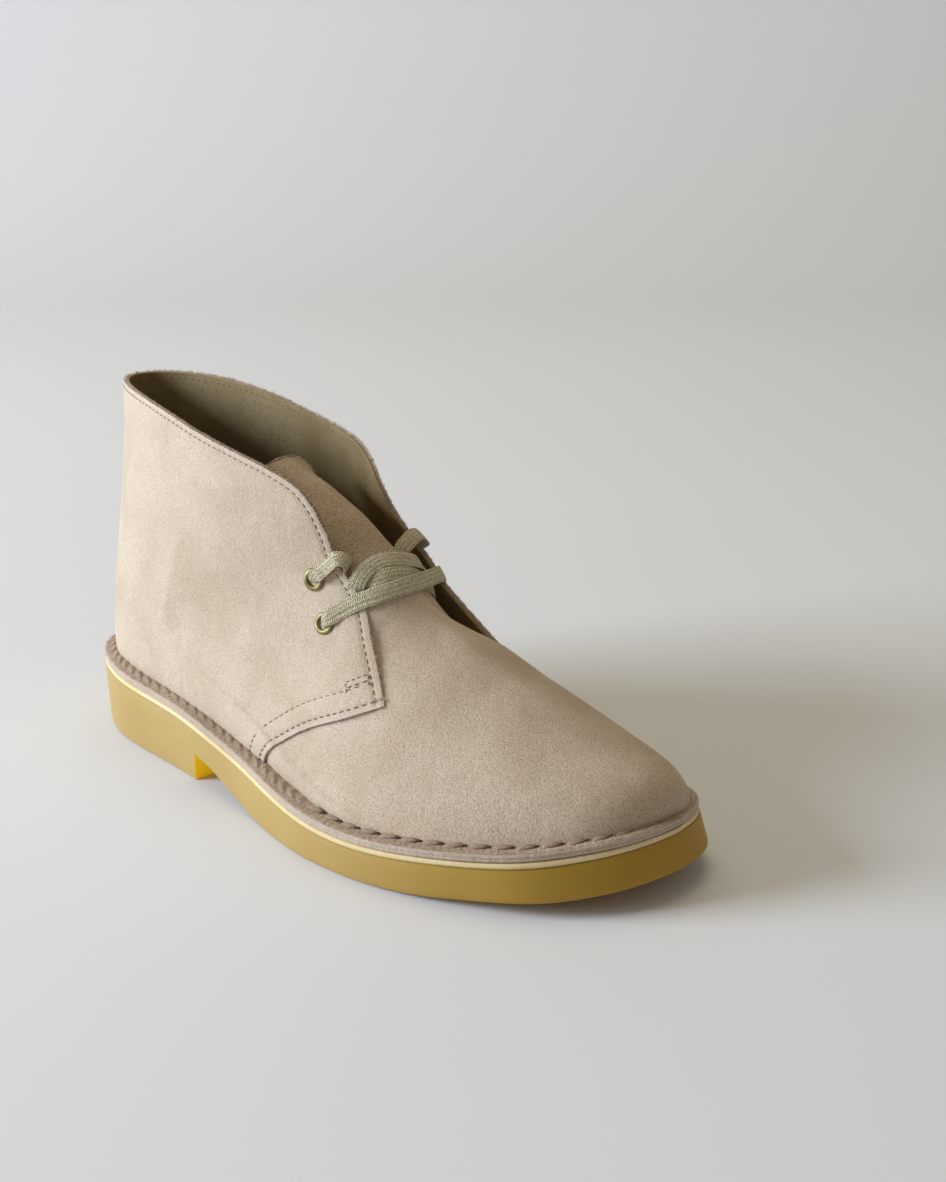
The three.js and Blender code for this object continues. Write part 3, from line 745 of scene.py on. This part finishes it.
def feather_angle(place, side):
    """The angle where a section meets the welt."""
    low, high = np.full(place.shape, -np.pi / 2), np.full(place.shape, np.pi / 2)
    for _ in range(30):
        middle = (low + high) / 2
        point = last_point(place, middle if side < 0 else np.pi - middle)
        under = point[..., 2] < rubber_top(point[..., 0]) + FOOT + 0.2
        low, high = np.where(under, middle, low), np.where(under, high, middle)
    return high


def uneven(points, size, depth, seed):
    """Slow noise at points in millimetres: depth is its swing and size its breadth."""
    shift = Vector((seed * 17.3, seed * 5.1, seed * 9.7))
    return np.array([noise.noise(Vector(p) / size + shift) for p in points]) * depth


def vamp_rule(u, v):
    """The vamp's surface: u goes over the ridge from the outer side, and v from the toe to the throat."""
    ridge = 1 - np.abs(2 * u - 1)
    end = SIDE_PLACE + (THROAT_PLACE - SIDE_PLACE) * ease(ridge * 1.6)
    place = (v**1.15) * end
    low, high = feather_angle(place, -1), np.pi - feather_angle(place, 1)
    angle = low + (high - low) * u
    point = last_point(place, angle)
    past = np.maximum(place - BEND_PLACE, 0)[:, None]
    on_ridge = ease((np.sin(angle) - 0.74) / 0.2)[:, None] * ease(past * 4)
    rise = np.sin(angle)
    tucked = ease((0.85 - rise) / 0.15) * ease((rise - 0.2) / 0.2) * ease((place - BEND_PLACE) * 3 + 0.5)
    # Under the inner facing the throat falls away, and the facing stands over it.
    fading = 1 - ease((angle - 2.15 - 0.33 * (place - 6.9)) / 0.3)
    tucked += 9 * ease((place - 6) / 2.8) * ease((angle - 1.5) / 0.5) * fading
    point += (last_point(np.minimum(place, BEND_PLACE), angle) + past * THROAT_STEP - point) * on_ridge
    lift = uneven(point, 26, 0.5, 1) + uneven(point, 9, 0.16, 2)
    across_flex = (point[:, 0] - FLEX_X + 0.12 * point[:, 1]) / FLEX_WIDE
    lift -= FLEX_DEEP * (np.exp(-(across_flex**2)) * np.sin(np.pi * u) ** 2)
    lift = lift * ease(v * 12) * ease(ridge * 20) - tucked
    return point + last_normal(place, angle) * lift[:, None]


def no_edge(u, v):
    """A map for a piece that shows no cut edge."""
    return {"edge": np.column_stack([np.full(u.shape, 0.2), v])}


vamp = wrapped(190, 190, vamp_rule, no_edge)
vamp = finish_piece(vamp, "vamp", [body_suede], ["upper"])
thicken(vamp, 1.6)

# %% [markdown]
# A quarter is flat leather too, one for each side of the ankle. Its four edges are known in side
# view: the feather, the front edge that is sewn to the vamp, the collar with the facing, and the
# seam at the back of the heel. Blending the four edges into each other fills the panel between
# them, and its places on the last then give it the heel's shape. Only its facing leaves the last:
# the lace pulls it flat, so it stands off the vamp by a few millimetres.

# %% The quarters' edges
COLLAR = smooth_line([
    (-160, 150.4), (-140, 150.2), (-120, 150), (-100, 148.5), (-80, 145.5), (-65, 142.3), (-45, 138.5),
    (-25, 134), (-12, 128.5), (-5, 121), (-1, 112), (3, 101.3), (9, 94.5), (16.5, 86.3), (25, 76),
    (34.5, 66.5), (44.5, 57),
])
QUARTER_FRONT = smooth_line([(44.5, 57), (31, 50.5), (14, 42.5), (3, 35), (-5, 28), (-11, 18)])
OVERLAY = 1.5  # the quarters' thickness over the vamp
FLARE = {-1: 0.8, 1: 2.8}  # how far each facing stands off; the inner one gapes
FLARE_WIDE = 26  # how far from the collar's line it fades out


def to_edge(line, x, z):
    """The distance of side view points to a line, and the line's nearest height."""
    gap = np.hypot(x[:, None] - line[None, :, 0], z[:, None] - line[None, :, 1])
    nearest = gap.argmin(1)
    return gap.min(1), line[nearest, 1]


def flare(x, z, side):
    """How far a side view place of a quarter stands off the last."""
    gap, height = to_edge(COLLAR[::2], x, z)
    along = ease((height - 56) / 24) * ease((116 - height) / 26)
    # On the inner side the collar leans in at the ankle.
    bend_in = 7 * np.exp(-((x + 6) ** 2 + (z - 124) ** 2) / 400) * (side > 0)
    return FLARE[side] * along * (1 - ease(gap / FLARE_WIDE)) ** 1.3 - bend_in


def quarter_point(x, z, side, offset):
    """Points of a quarter, offset from the last, and the way out there."""
    x, z = np.atleast_1d(np.asarray(x, float)), np.atleast_1d(np.asarray(z, float))
    place, angle = find(x, z, side)
    out = last_normal(place, angle)
    return last_point(place, angle) + out * (np.asarray(offset) + flare(x, z, side))[:, None], out


def back_place(height_at):
    """Where the heel's back line reaches a height given by x."""
    place = np.linspace(11, 17, 400)
    point = last_point(place, np.full(place.shape, -np.pi / 2))
    return np.interp(0, point[:, 2] - height_at(point[:, 0]), place)


def feather_height(x):
    """Where the upper meets the welt."""
    return rubber_top(x) + FOOT + 0.2


def collar_height(x):
    """The height of the collar's upper line."""
    upto = COLLAR[:, 0].argmax() + 1
    return np.interp(x, COLLAR[:upto, 0], COLLAR[:upto, 1])


def edge_curve(line, first):
    """A side view line as evenly spaced (place, angle) pairs of the outer side, from its start."""
    share = np.linspace(0, 1, 500) ** 2
    place, angle = find(*at_share(line, share).T, -1)
    if first is not None:
        place[0], angle[0] = first, -np.pi / 2
    run = run_of(last_point(place, angle))
    return np.column_stack([place, angle]), run / run[-1]


def read(curve, share):
    """An edge's place and angle at shares of its length."""
    pairs, run = curve
    return np.stack([np.interp(share, run, column) for column in pairs.T], -1)


back_low, back_high = back_place(feather_height), back_place(collar_height)
back_points = last_point(np.array([back_low, back_high]), np.full(2, -np.pi / 2))
start = COLLAR[:, 0] > back_points[1, 0]
collar_line = np.vstack([back_points[1, [0, 2]], COLLAR[start]])
front_line = QUARTER_FRONT[QUARTER_FRONT[:, 1] > feather_height(QUARTER_FRONT[:, 0])][::-1]
feather_x = np.linspace(back_points[0, 0], front_line[0, 0], 300)
feather_line = np.column_stack([feather_x, feather_height(feather_x)])
top_curve, low_curve = edge_curve(collar_line, back_high), edge_curve(feather_line, back_low)
front_curve = edge_curve(front_line, None)
print("collar and facing", run_of(collar_line)[-1].round(), "mm, back seam", back_points.round(1).tolist())


def panel_place(u, v):
    """The blend of the four edges: u from the back to the front, v from the feather to the collar."""
    u, v = u[:, None], v[:, None]
    low, top, front = read(low_curve, u[:, 0]), read(top_curve, u[:, 0]), read(front_curve, v[:, 0])
    back = np.column_stack([back_low + (back_high - back_low) * v[:, 0], np.full(len(v), -np.pi / 2)])
    corners = [read(low_curve, 0.0), read(low_curve, 1.0), read(top_curve, 0.0), read(top_curve, 1.0)]
    blend = (1 - u) * (1 - v) * corners[0] + u * (1 - v) * corners[1]
    blend = blend + (1 - u) * v * corners[2] + u * v * corners[3]
    return ((1 - v) * low + v * top + (1 - u) * back + u * front - blend).T


# %% [markdown]
# Now the two quarters. Rows crowd towards the collar and the front, where the seams need detail:
# each seam pulls its line a little way into the leather. The outer quarter also shows the faint
# edge of the stiff heel counter that lies under it. Each quarter's map holds its distance from
# the nearest cut edge, for the paler suede there.

# %% Quarters
COUNTER_LINE = smooth_line([
    (-122, 92), (-112, 89), (-100, 83.5), (-88, 76), (-79, 66), (-71.5, 55), (-68, 40), (-67, 28),
])
SEAM_IN = 2.4  # the seam's distance from the cut edge
SECOND_SEAM_IN = 9.2
GROOVE_WIDE = 0.75


def crowded(u, v):
    """Grid places with more rows towards the front and the collar."""
    return 1 - (1 - u) ** 1.25, 1 - (1 - v) ** 1.35


def groove(gap, at, depth):
    """How far a seam at a distance from the edge pulls the leather in."""
    return -depth * np.exp(-(((gap - at) / GROOVE_WIDE) ** 2))


def quarter_rule(side, offset, seams=True):
    """The rule for one side's quarter, or its lining when offset is low and it has no seams."""
    def rule(u, v):
        place, angle = panel_place(*crowded(u, v))
        point = last_point(place, angle)
        x, z = point[:, 0], point[:, 2]
        lift = offset + flare(x, z, side)
        if seams:
            collar_gap, front_gap = to_edge(COLLAR, x, z)[0], to_edge(QUARTER_FRONT, x, z)[0]
            lift += groove(collar_gap, SEAM_IN, 0.35) - 0.5 * np.exp(-collar_gap / 0.7)
            lift += groove(front_gap, SEAM_IN, 0.3) + groove(front_gap, SECOND_SEAM_IN, 0.25)
            lift -= 0.6 * np.exp(-front_gap / 3)
            lift += uneven(point * [1, side, 1], 30, 0.7, 3) * ease(collar_gap / 15) * ease(front_gap / 20)
            counter = to_edge(COUNTER_LINE, x, z)[0]
            lift -= 0.3 * np.exp(-((counter / 1.6) ** 2)) * (side < 0) * ease((94 - z) / 12)
        angle = angle if side < 0 else np.pi - angle
        return last_point(place, angle) + last_normal(place, angle) * lift[:, None]

    return rule


def quarter_maps(u, v):
    """The distance to the nearest cut edge, in decimetres."""
    u, v = crowded(u, v)
    x, _, z = last_point(*panel_place(u, v)).T
    gap = np.minimum(to_edge(COLLAR, x, z)[0], to_edge(QUARTER_FRONT, x, z)[0])
    return {"edge": np.column_stack([gap / 100, v])}


def face_outwards(shape, side):
    """The inner side's grid is mirrored, so its faces are turned over."""
    if side > 0:
        bmesh.ops.reverse_faces(shape, faces=shape.faces)
    return shape


for side, word in ((-1, "outer"), (1, "inner")):
    shape = face_outwards(wrapped(190, 120, quarter_rule(side, OVERLAY), quarter_maps), side)
    piece = finish_piece(shape, f"quarter_{word}", [body_suede], ["upper"])
    thicken(piece, 1.55, 0.25)
    shape = face_outwards(wrapped(90, 60, quarter_rule(side, -0.1, False), no_edge), side)
    piece = finish_piece(shape, f"lining_{word}", [lining_leather], ["upper"])
    thicken(piece, 1.0, 0.2)

# %% [markdown]
# The tongue is a soft flap that runs on from under the vamp to a rounded end. Its table gives the
# middle line in side view, the line's place across, its half width and how far its sides drop.
# The inner side turns down more, under the facing that gapes. The lace bar hides the step from the
# vamp down to the tongue.

# %% Tongue
TONGUE = np.array([
    (46, 72, 10.5, 17, 7), (34, 80.5, 10.5, 20, 10), (26, 89.2, 10.5, 22, 12), (14, 101.4, 10, 23, 13),
    (-4, 113.6, 9, 23.5, 12), (-22, 121.8, 8, 23, 10), (-33, 126, 7, 21, 7.6), (-38.6, 128, 6.6, 18.4, 5.2),
    (-42, 129.2, 6.4, 15, 3), (-43.8, 129.8, 6.3, 10.6, 1.4), (-44.6, 130.1, 6.3, 5.2, 0.3),
])
tongue_line = smooth_line(TONGUE)


def tongue_rule(u, v):
    """The tongue's surface: u goes across, and v from under the vamp to the tip."""
    row = at_share(tongue_line, v)
    ahead = at_share(tongue_line, np.minimum(v + 0.01, 1))
    behind_it = at_share(tongue_line, np.maximum(v - 0.01, 0))
    step = (ahead - behind_it)[:, [0, 1]]
    step /= np.linalg.norm(step, axis=1, keepdims=True)
    across = np.sin((2 * u - 1) * np.pi / 2)
    turned = ease(v * 2.2) * (1 - 0.5 * ease((v - 0.72) / 0.25)) * (across > 0)
    deep = row[:, 4] * across**2 * (1 + 1.2 * turned)
    aside = row[:, 3] * across * (1 - 0.35 * turned)
    point = np.column_stack([row[:, 0] - step[:, 1] * deep, row[:, 2] + aside, row[:, 1] + step[:, 0] * deep])
    lift = uneven(point, 14, 0.9, 5) * ease(1 - abs(across))
    return point + np.column_stack([step[:, 1], np.zeros(len(v)), -step[:, 0]]) * lift[:, None]


def tongue_maps(u, v):
    """The distance to the tongue's rim in decimetres, and a little more, as its rim is less pale."""
    row = at_share(tongue_line, v)
    gap = np.minimum(row[:, 3] * (1 - np.abs(np.sin((2 * u - 1) * np.pi / 2))), (1 - v) * 110)
    return {"edge": np.column_stack([gap / 100 + 0.004, v])}


tongue = wrapped(60, 120, tongue_rule, tongue_maps)
tongue = finish_piece(tongue, "tongue_flap", [tongue_suede], ["tongue"])
thicken(tongue, 2.0, 0.4)

# %% [markdown]
# Each eyelet is a short brass tube, rolled over on both faces of the quarter. A spin makes a ring
# from a profile: the points go from the hole's far end, out over the rolled rim, and back inside.
# Each ring is then turned so that its axis follows the leather.

# %% Eyelets
EYELETS = {"upper": (-4, 93), "lower": (5, 77.6)}
HOLE = 2.6  # the hole's radius
RING_PROFILE = [  # radius and height over the leather
    (HOLE + 0.2, -3.2), (HOLE - 0.1, -2.6), (HOLE - 0.1, 0.4), (HOLE + 0.1, 0.85),
    (HOLE + 0.5, 1.1), (HOLE + 1.0, 1.1), (HOLE + 1.5, 0.9), (HOLE + 1.85, 0.55),
    (HOLE + 1.95, 0.1), (HOLE + 1.8, -0.4), (HOLE + 0.5, -0.4), (HOLE + 0.5, -3.2),
]


def seat(name, side):
    """The middle of an eyelet on the quarter's face, and the way out."""
    point, out = quarter_point(*EYELETS[name], side, OVERLAY + 0.25)
    return Vector(point[0]), Vector(out[0]).normalized()


def eyelet(name, side):
    """A rolled brass ring on its seat."""
    middle, out = seat(name, side)
    ring = bmesh.new()
    corners = [ring.verts.new((r * MM, 0, h * MM)) for r, h in [*RING_PROFILE, RING_PROFILE[0]]]
    rim = [ring.edges.new(pair) for pair in zip(corners, corners[1:])]
    bmesh.ops.spin(
        ring, geom=[*corners, *rim], cent=(0, 0, 0), axis=(0, 0, 1), angle=2 * np.pi, steps=40, use_merge=True
    )
    bmesh.ops.remove_doubles(ring, verts=ring.verts, dist=0.01 * MM)
    turn = out.to_track_quat("Z", "X").to_matrix()
    bmesh.ops.rotate(ring, verts=ring.verts, matrix=turn)
    bmesh.ops.translate(ring, verts=ring.verts, vec=middle * MM)
    return ring


for side, word in ((-1, "outer"), (1, "inner")):
    for name in EYELETS:
        ring, replaced = eyelet(name, side), [f"eyelet_{name}_{word}"]
        finish_piece(ring, f"brass_eyelet_{name}_{word}", [brass], replaced, closed=True)
        print(name, word, [round(n, 1) for n in seat(name, side)[0]])

# %% [markdown]
# A hole is more than its ring: the leather is cut away inside it. A boolean would leave a ragged
# mesh on such a curved panel, so a dark cup stands in the tube instead, as painted shade. It reads
# as a deep hole from outside, and the lace goes down into it.

# %% Holes
for side, word in ((-1, "outer"), (1, "inner")):
    for name in EYELETS:
        middle, out = seat(name, side)
        cup = bmesh.new()
        bmesh.ops.create_circle(cup, cap_ends=True, segments=24, radius=(HOLE + 0.3) * MM)
        bmesh.ops.inset_region(cup, faces=cup.faces, thickness=0.9 * MM, depth=-1.2 * MM)
        bmesh.ops.rotate(cup, verts=cup.verts, matrix=out.to_track_quat("Z", "X").to_matrix())
        bmesh.ops.translate(cup, verts=cup.verts, vec=(middle + out * 0.12) * MM)
        finish_piece(cup, f"eyelet_hole_shade_{name}_{word}", [hole_shadow])

# %% [markdown]
# The lace is flat, 6 mm wide, and soft, so it pinches where it goes into an eyelet. A ribbon is a
# grid wrapped round a route: each point of the route has its own width and thickness, and the flat
# side faces away from the foot. A curve with a bevel was the other choice, but
# its width and its thickness can't change apart from each other.

# %% Lace ribbon
LACE_CORE = np.array([-14, 9.6, 66.0])  # inside the boot: the lace's flat side faces away from here
LACE_WIDE, LACE_THICK = 6.7, 1.05
THREADING = [  # height over the rim, way along, width and thickness, from the hole up and out
    (-7, -0.8, 3.6, 2.0), (-3, -0.6, 3.6, 2.0), (0, -0.2, 3.7, 1.9), (1.6, 1.4, 5.0, 1.5),
    (1.8, 3.6, 6.5, 1.1),
]


def carried(line, first):
    """The flat side's direction along a route: carried on from the first, and eased flat to the foot."""
    steps = np.gradient(line[:, :3], axis=0)
    steps /= np.linalg.norm(steps, axis=1, keepdims=True)
    flat = [np.array(first, float)]
    for place, along in zip(line[:, :3], steps):
        out = place - LACE_CORE
        out = out / np.linalg.norm(out)
        out = out - along * (out @ along)
        now = flat[-1] - along * (flat[-1] @ along)
        now = now + 0.08 * out * np.sign(now @ out) * np.linalg.norm(out) ** 2
        flat.append(now / np.linalg.norm(now))
    return np.array(flat[1:]), steps


def ribbon(route, first, columns=260, rows=28):
    """A woven flat ribbon along rows of x, y, z, width and thickness."""
    line = at_share(smooth_line(route), np.linspace(0, 1, 600))
    flat, along = carried(line, first)
    run = run_of(line[:, :3])
    frame_line = np.hstack([line, flat, np.cross(flat, along)])

    def rule(u, v):
        at = at_share(frame_line, u, run)
        turn = 2 * np.pi * v
        wide = np.sign(np.cos(turn)) * np.abs(np.cos(turn)) ** 0.5 * at[:, 3] / 2
        thick = np.sign(np.sin(turn)) * np.abs(np.sin(turn)) ** 0.6 * at[:, 4] / 2
        thick = thick * (1 + 0.06 * np.cos(wide * 2 * np.pi / RIB))
        return at[:, :3] + at[:, 8:11] * wide[:, None] + at[:, 5:8] * thick[:, None]

    def maps(u, v):
        wide = np.sign(np.cos(2 * np.pi * v)) * np.abs(np.cos(2 * np.pi * v)) ** 0.5 * 3.1
        return {"weave": np.column_stack([u * run[-1], wide + 3.3])}

    return wrapped(columns, rows, rule, maps)


def into_hole(name, side, lean_to):
    """Route rows from inside an eyelet to just over its rim, leaning to a point, and the flat side."""
    middle, out = (np.array(p) for p in seat(name, side))
    aside = np.array(lean_to) - middle
    aside -= out * (aside @ out)
    aside /= np.linalg.norm(aside)
    rows = [
        (*(middle + out * height + aside * slide), width, thick)
        for height, slide, width, thick in THREADING
    ]
    return rows, -aside


def on_quarter(x, z, side, lift):
    """A route row at a side view place, lifted off the quarter's face."""
    point, _ = quarter_point(x, z, side, OVERLAY + lift)
    return (*point[0], LACE_WIDE, LACE_THICK)


def free(*points):
    """Route rows at points of their own."""
    return [(*point, LACE_WIDE, LACE_THICK) for point in points]


# %% [markdown]
# The bar lies on top and joins the lower eyelets. Two short turns go from the upper eyelets over
# the facings' edges and tuck in behind them, and two more strands cross over the tongue with their
# ends hidden under the facings. Each route is a few points in millimetres, which follow the lace
# from the outer side to the inner side.

# %% Lace bar and crossing
def bar_end(side):
    """The bar's route rows from a lower eyelet to near the middle, and its flat side."""
    over = on_quarter(9.8, 82.4, side, 1.1)
    rows, flat = into_hole("lower", side, over[:3])
    edge = on_quarter(14.6, 86.2, side, 0.9)
    middle = {
        -1: free((20.4, -7.6, 90), (23.8, -0.9, 91.7)),
        1: free((22.6, 23.0, 91), (25.8, 13.5, 92.4)),
    }
    return [*rows, over, edge, *middle[side]], flat


(outer_rows, outer_flat), (inner_rows, _) = bar_end(-1), bar_end(1)
bar = ribbon([*outer_rows, *free((25.6, 5.6, 92.5)), *inner_rows[::-1]], outer_flat, 320)
finish_piece(bar, "woven_lace_bar", [lace_cotton], ["lace_bar"], closed=True)


def loop(side, first_rise, route):
    """From an upper eyelet over the facing's edge, and tucked in behind it."""
    rows, flat = into_hole("upper", side, first_rise[:3])
    return ribbon([*rows, first_rise, *route], flat, 240)


outer_route = [
    on_quarter(2.1, 100.4, -1, 1.5),
    *free((5.2, -13.2, 102.9), (7.4, -10.6, 102.4), (7.8, -8.8, 99.8), (5.6, -8.6, 96.4), (2.5, -9, 93.5)),
]
inner_route = free(
    (5.2, 34.6, 99.6), (7.0, 31.6, 102.8), (8.0, 27.6, 103.9), (8.9, 22.8, 102.6), (9.7, 18.4, 100.2),
    (10.6, 16.6, 96.5),
)
lower_route = free(
    (10, -9, 91), (13, -6.4, 93.6), (17.5, -3.2, 95), (19.8, 2.5, 96.1), (21.6, 9.3, 95.3),
    (21.4, 16.4, 91.8), (21.6, 22.4, 87), (17, 28, 82),
)
upper_route = free(
    (13, 26, 92), (16.4, 20.4, 96.2), (17.3, 13.5, 99.3), (16.5, 7.4, 100.9), (14.3, 1.4, 100.7),
    (13.4, -5.6, 98), (13.4, -9.4, 94), (11.4, -9.6, 87),
)
strands = loop(-1, on_quarter(-0.8, 97.2, -1, 1.2), outer_route)
for more in (
    loop(1, on_quarter(0.2, 96.4, 1, 1.6), inner_route),
    ribbon(lower_route, (0.5, 0, 0.8)),
    ribbon(upper_route, (0.5, 0, 0.8)),
):
    held = bpy.data.meshes.new("strand")
    more.to_mesh(held)
    more.free()
    strands.from_mesh(held)
    bpy.data.meshes.remove(held)
finish_piece(strands, "woven_lace_crossing", [lace_cotton], ["lace_crossing"], closed=True)

# %% [markdown]
# Seams are what makes leather look sewn. Each stitch is a tiny rounded dash that lies in its
# groove, made from a low sphere stretched along the seam. The seam's line is the panel's edge
# moved inwards in side view, and `quarter_point` puts it on the leather.

# %% Stitches
def inset_line(line, distance):
    """A side view line moved inwards, to the right of its direction."""
    step = np.gradient(line, axis=0)
    step /= np.maximum(np.linalg.norm(step, axis=1, keepdims=True), 1e-9)
    return line + distance * np.column_stack([step[:, 1], -step[:, 0]])


def dash(shape, start, end, out, wide, high, sides=6, rings=4):
    """Adds one stretched low sphere from start to end, its flat side facing out."""
    start, end, out = Vector(start), Vector(end), Vector(out).normalized()
    along = (end - start).normalized()
    across = out.cross(along).normalized()
    turn = Matrix((along, across, along.cross(across))).transposed().to_4x4()
    size = Matrix.Diagonal(((end - start).length / 2 * MM, wide / 2 * MM, high / 2 * MM, 1))
    place = Matrix.Translation((start + end) / 2 * MM) @ turn @ size
    bmesh.ops.create_uvsphere(shape, u_segments=sides, v_segments=rings, radius=1, matrix=place)


def seam(shape, line, side, offset, pitch=3.0, share=0.7, wide=0.46, high=0.5):
    """A row of dashes along a side view line of a quarter."""
    run = run_of(line)
    count = int(run[-1] / pitch)
    starts = (np.arange(count) + 0.5 - share / 2) / count
    first, out = quarter_point(*at_share(line, starts, run).T, side, offset)
    last, _ = quarter_point(*at_share(line, starts + share / count, run).T, side, offset)
    for a, b, way in zip(first, last, out):
        dash(shape, a, b, way, wide, high)


collar_seam = inset_line(COLLAR[COLLAR[:, 0] > -140], SEAM_IN)
collar_seam = collar_seam[: -int(len(collar_seam) * 0.012)]
front_seam = inset_line(QUARTER_FRONT, SEAM_IN)
second_seam = inset_line(QUARTER_FRONT, SECOND_SEAM_IN)
front_seam = front_seam[front_seam[:, 1] > feather_height(front_seam[:, 0]) + 2]
second_seam = second_seam[second_seam[:, 1] > feather_height(second_seam[:, 0]) + 2]
second_seam = second_seam[to_edge(COLLAR, *second_seam.T)[0] > 5.5]
bar_tack = np.array([(24.8, 60.8), (32.2, 64.8), (35.0, 61.4), (27.6, 57.6)])  # a box at the facing's foot
for side, word in ((-1, "outer"), (1, "inner")):
    row = bmesh.new()
    seam(row, collar_seam, side, OVERLAY - 0.22)
    seam(row, front_seam, side, OVERLAY - 0.2)
    seam(row, second_seam, side, OVERLAY - 0.15)
    upper, lower = bar_tack[[0, 1]], bar_tack[[3, 2]]
    for ends in (upper, (upper + lower) / 2, bar_tack[[3, 0]], bar_tack[[1, 2]]):
        seam(row, ends, side, OVERLAY + 0.05, pitch=2.1, wide=0.6)
    finish_piece(row, f"seam_{word}", [seam_thread])
    row = bmesh.new()
    seam(row, collar_seam, side, -1.05)
    finish_piece(row, f"lining_seam_{word}", [seam_thread])

# %% [markdown]
# The welt is sewn to the vamp by hand with thick cord. Round the forefoot each stitch shows as a
# leaning lens of twisted cord, with a dark hole at its front end where the next one goes in. Here
# each is two strands laid side by side, with a small dark dash beside their ends as painted shade
# for the hole.

# %% Whip stitches
CORD_PITCH = 9.2
CORD_HALF = 3.7  # half a stitch's length
CORD_IN = np.array([5.2, 5.7])  # how far in from the rim its two ends lie
CORD_HIGH = np.array([6.0, 6.3])
at_x = at_share(OUTLINE, np.linspace(0, 1, 2000))
front_shares = np.linspace(0, 1, 2000)[at_x[:, 0] > CORD_START]
first_share, last_share = front_shares.min(), front_shares.max()
count = int((last_share - first_share) * outline_run[-1] / CORD_PITCH)
cords, hole_shades = bmesh.new(), bmesh.new()
for n in range(count):
    middle = first_share + (last_share - first_share) * (n + 0.5) / count
    half = CORD_HALF / outline_run[-1]
    toeward = 1 if at_share(OUTLINE, middle)[1] < 20 else -1
    ends = np.array([middle - half * toeward, middle + half * toeward])
    at_toe = ease((at_share(OUTLINE, middle)[0] - 105) / 35)
    a, b = rim_point(ends, CORD_IN - 1.2 * at_toe, CORD_HIGH)
    out = np.array([0, 0, 1.0])
    aside = np.cross(b - a, out)
    aside *= 0.5 / np.linalg.norm(aside) * toeward
    dash(cords, a + aside, b + aside * 0.1, out, 2.3, 1.5, 8, 6)
    dash(cords, a - aside * 0.3, b - aside * 0.9, out, 2.3, 1.9, 8, 6)
    # Painted shade: a dark dash for the shadow in the needle hole.
    dash(hole_shades, b - (b - a) * 0.03, b + (b - a) * 0.15, out, 1.1, 0.9, 8, 5)
finish_piece(cords, "welt_cord", [welt_thread])
finish_piece(hole_shades, "welt_needle_hole_shades", [hole_shadow])

# %% [markdown]
# Suede is cut with a knife and never folded, so short fibres stand out of its cut edges: the
# collar and fronts of the quarters, the welt's rim and top, and the tongue's rim. Each is a cone
# with three sides, which starts at a random place on the cut face and points away from the panel,
# turned a little by chance. The random numbers have a fixed seed, so that each run makes the same
# fibres.

# %% Fringe
chance = np.random.default_rng(7)
WELT_FIBRES, RIM_FIBRES, TIP_FIBRES = 4200, 1100, 300


def fibres(shape, roots, ways, length, spread_out=0.7):
    """One thin cone at each root along its way, which chance bends."""
    ways = ways / np.linalg.norm(ways, axis=1, keepdims=True)
    ways = ways + chance.normal(0, spread_out, ways.shape)
    tall = length * chance.uniform(0.4, 1.3, len(roots))
    for root, way, height in zip(roots, ways, tall):
        way = Vector(way).normalized()
        place = Matrix.Translation((Vector(root) + way * height * 0.4) * MM)
        turn = way.to_track_quat("Z", "X").to_matrix().to_4x4()
        bmesh.ops.create_cone(
            shape, segments=3, radius1=0.1 * MM, radius2=0.02 * MM, depth=height * MM, matrix=place @ turn
        )


def edge_fibres(shape, line, side, per_mm=8):
    """Fibres along a side view edge of a quarter, which lies to the line's right."""
    share = chance.uniform(0, 1, int(run_of(line)[-1] * per_mm))
    inside = at_share(line, share)
    beyond = at_share(inset_line(line, -1.0), share)
    roots, _ = quarter_point(*inside.T, side, chance.uniform(0.1, 1.4, len(share)))
    tips, _ = quarter_point(*beyond.T, side, 0.75)
    middles, _ = quarter_point(*inside.T, side, 0.75)
    fibres(shape, roots, tips - middles, 1.15)


for side, word in ((-1, "outer"), (1, "inner")):
    fringe_shape = bmesh.new()
    edge_fibres(fringe_shape, COLLAR[COLLAR[:, 0] > -141], side)
    edge_fibres(fringe_shape, QUARTER_FRONT[QUARTER_FRONT[:, 1] > feather_height(QUARTER_FRONT[:, 0])], side)
    finish_piece(fringe_shape, f"cut_edge_fibres_{word}", [fringe])

welt_fibres = bmesh.new()
share = chance.uniform(0, 1, WELT_FIBRES)
inward = chance.uniform(0, 3.6, len(share))
roots = rim_point(share, inward, np.where(inward < 0.5, chance.uniform(3, 5.4, len(share)), 5.8))
ways = roots - rim_point(share, inward + 3, np.full(len(share), 3.0))
fibres(welt_fibres, roots, ways, 0.95)
finish_piece(welt_fibres, "welt_fibres", [fringe])

tongue_fibres = bmesh.new()
along = chance.uniform(0.8, 1, RIM_FIBRES)
side = chance.choice([0.0, 1.0], len(along))
rim = tongue_rule(side, along)
fibres(tongue_fibres, rim, rim - tongue_rule(np.abs(side - 0.2), along), 1.0)
tip = np.ones(TIP_FIBRES)
across = chance.uniform(0, 1, len(tip))
rim = tongue_rule(across, tip)
fibres(tongue_fibres, rim, rim - tongue_rule(across, 0.97 * tip), 1.0)
finish_piece(tongue_fibres, "tongue_fibres", [fringe])

# %% [markdown]
# Inside, the insole board is carried over from the CAD model, under its own leather. A mesh from
# CAD keeps its corners, so it only gets a material.

# %% Insole
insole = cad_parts["insole"]
insole.data.materials.clear()
insole.data.materials.append(sock_leather)
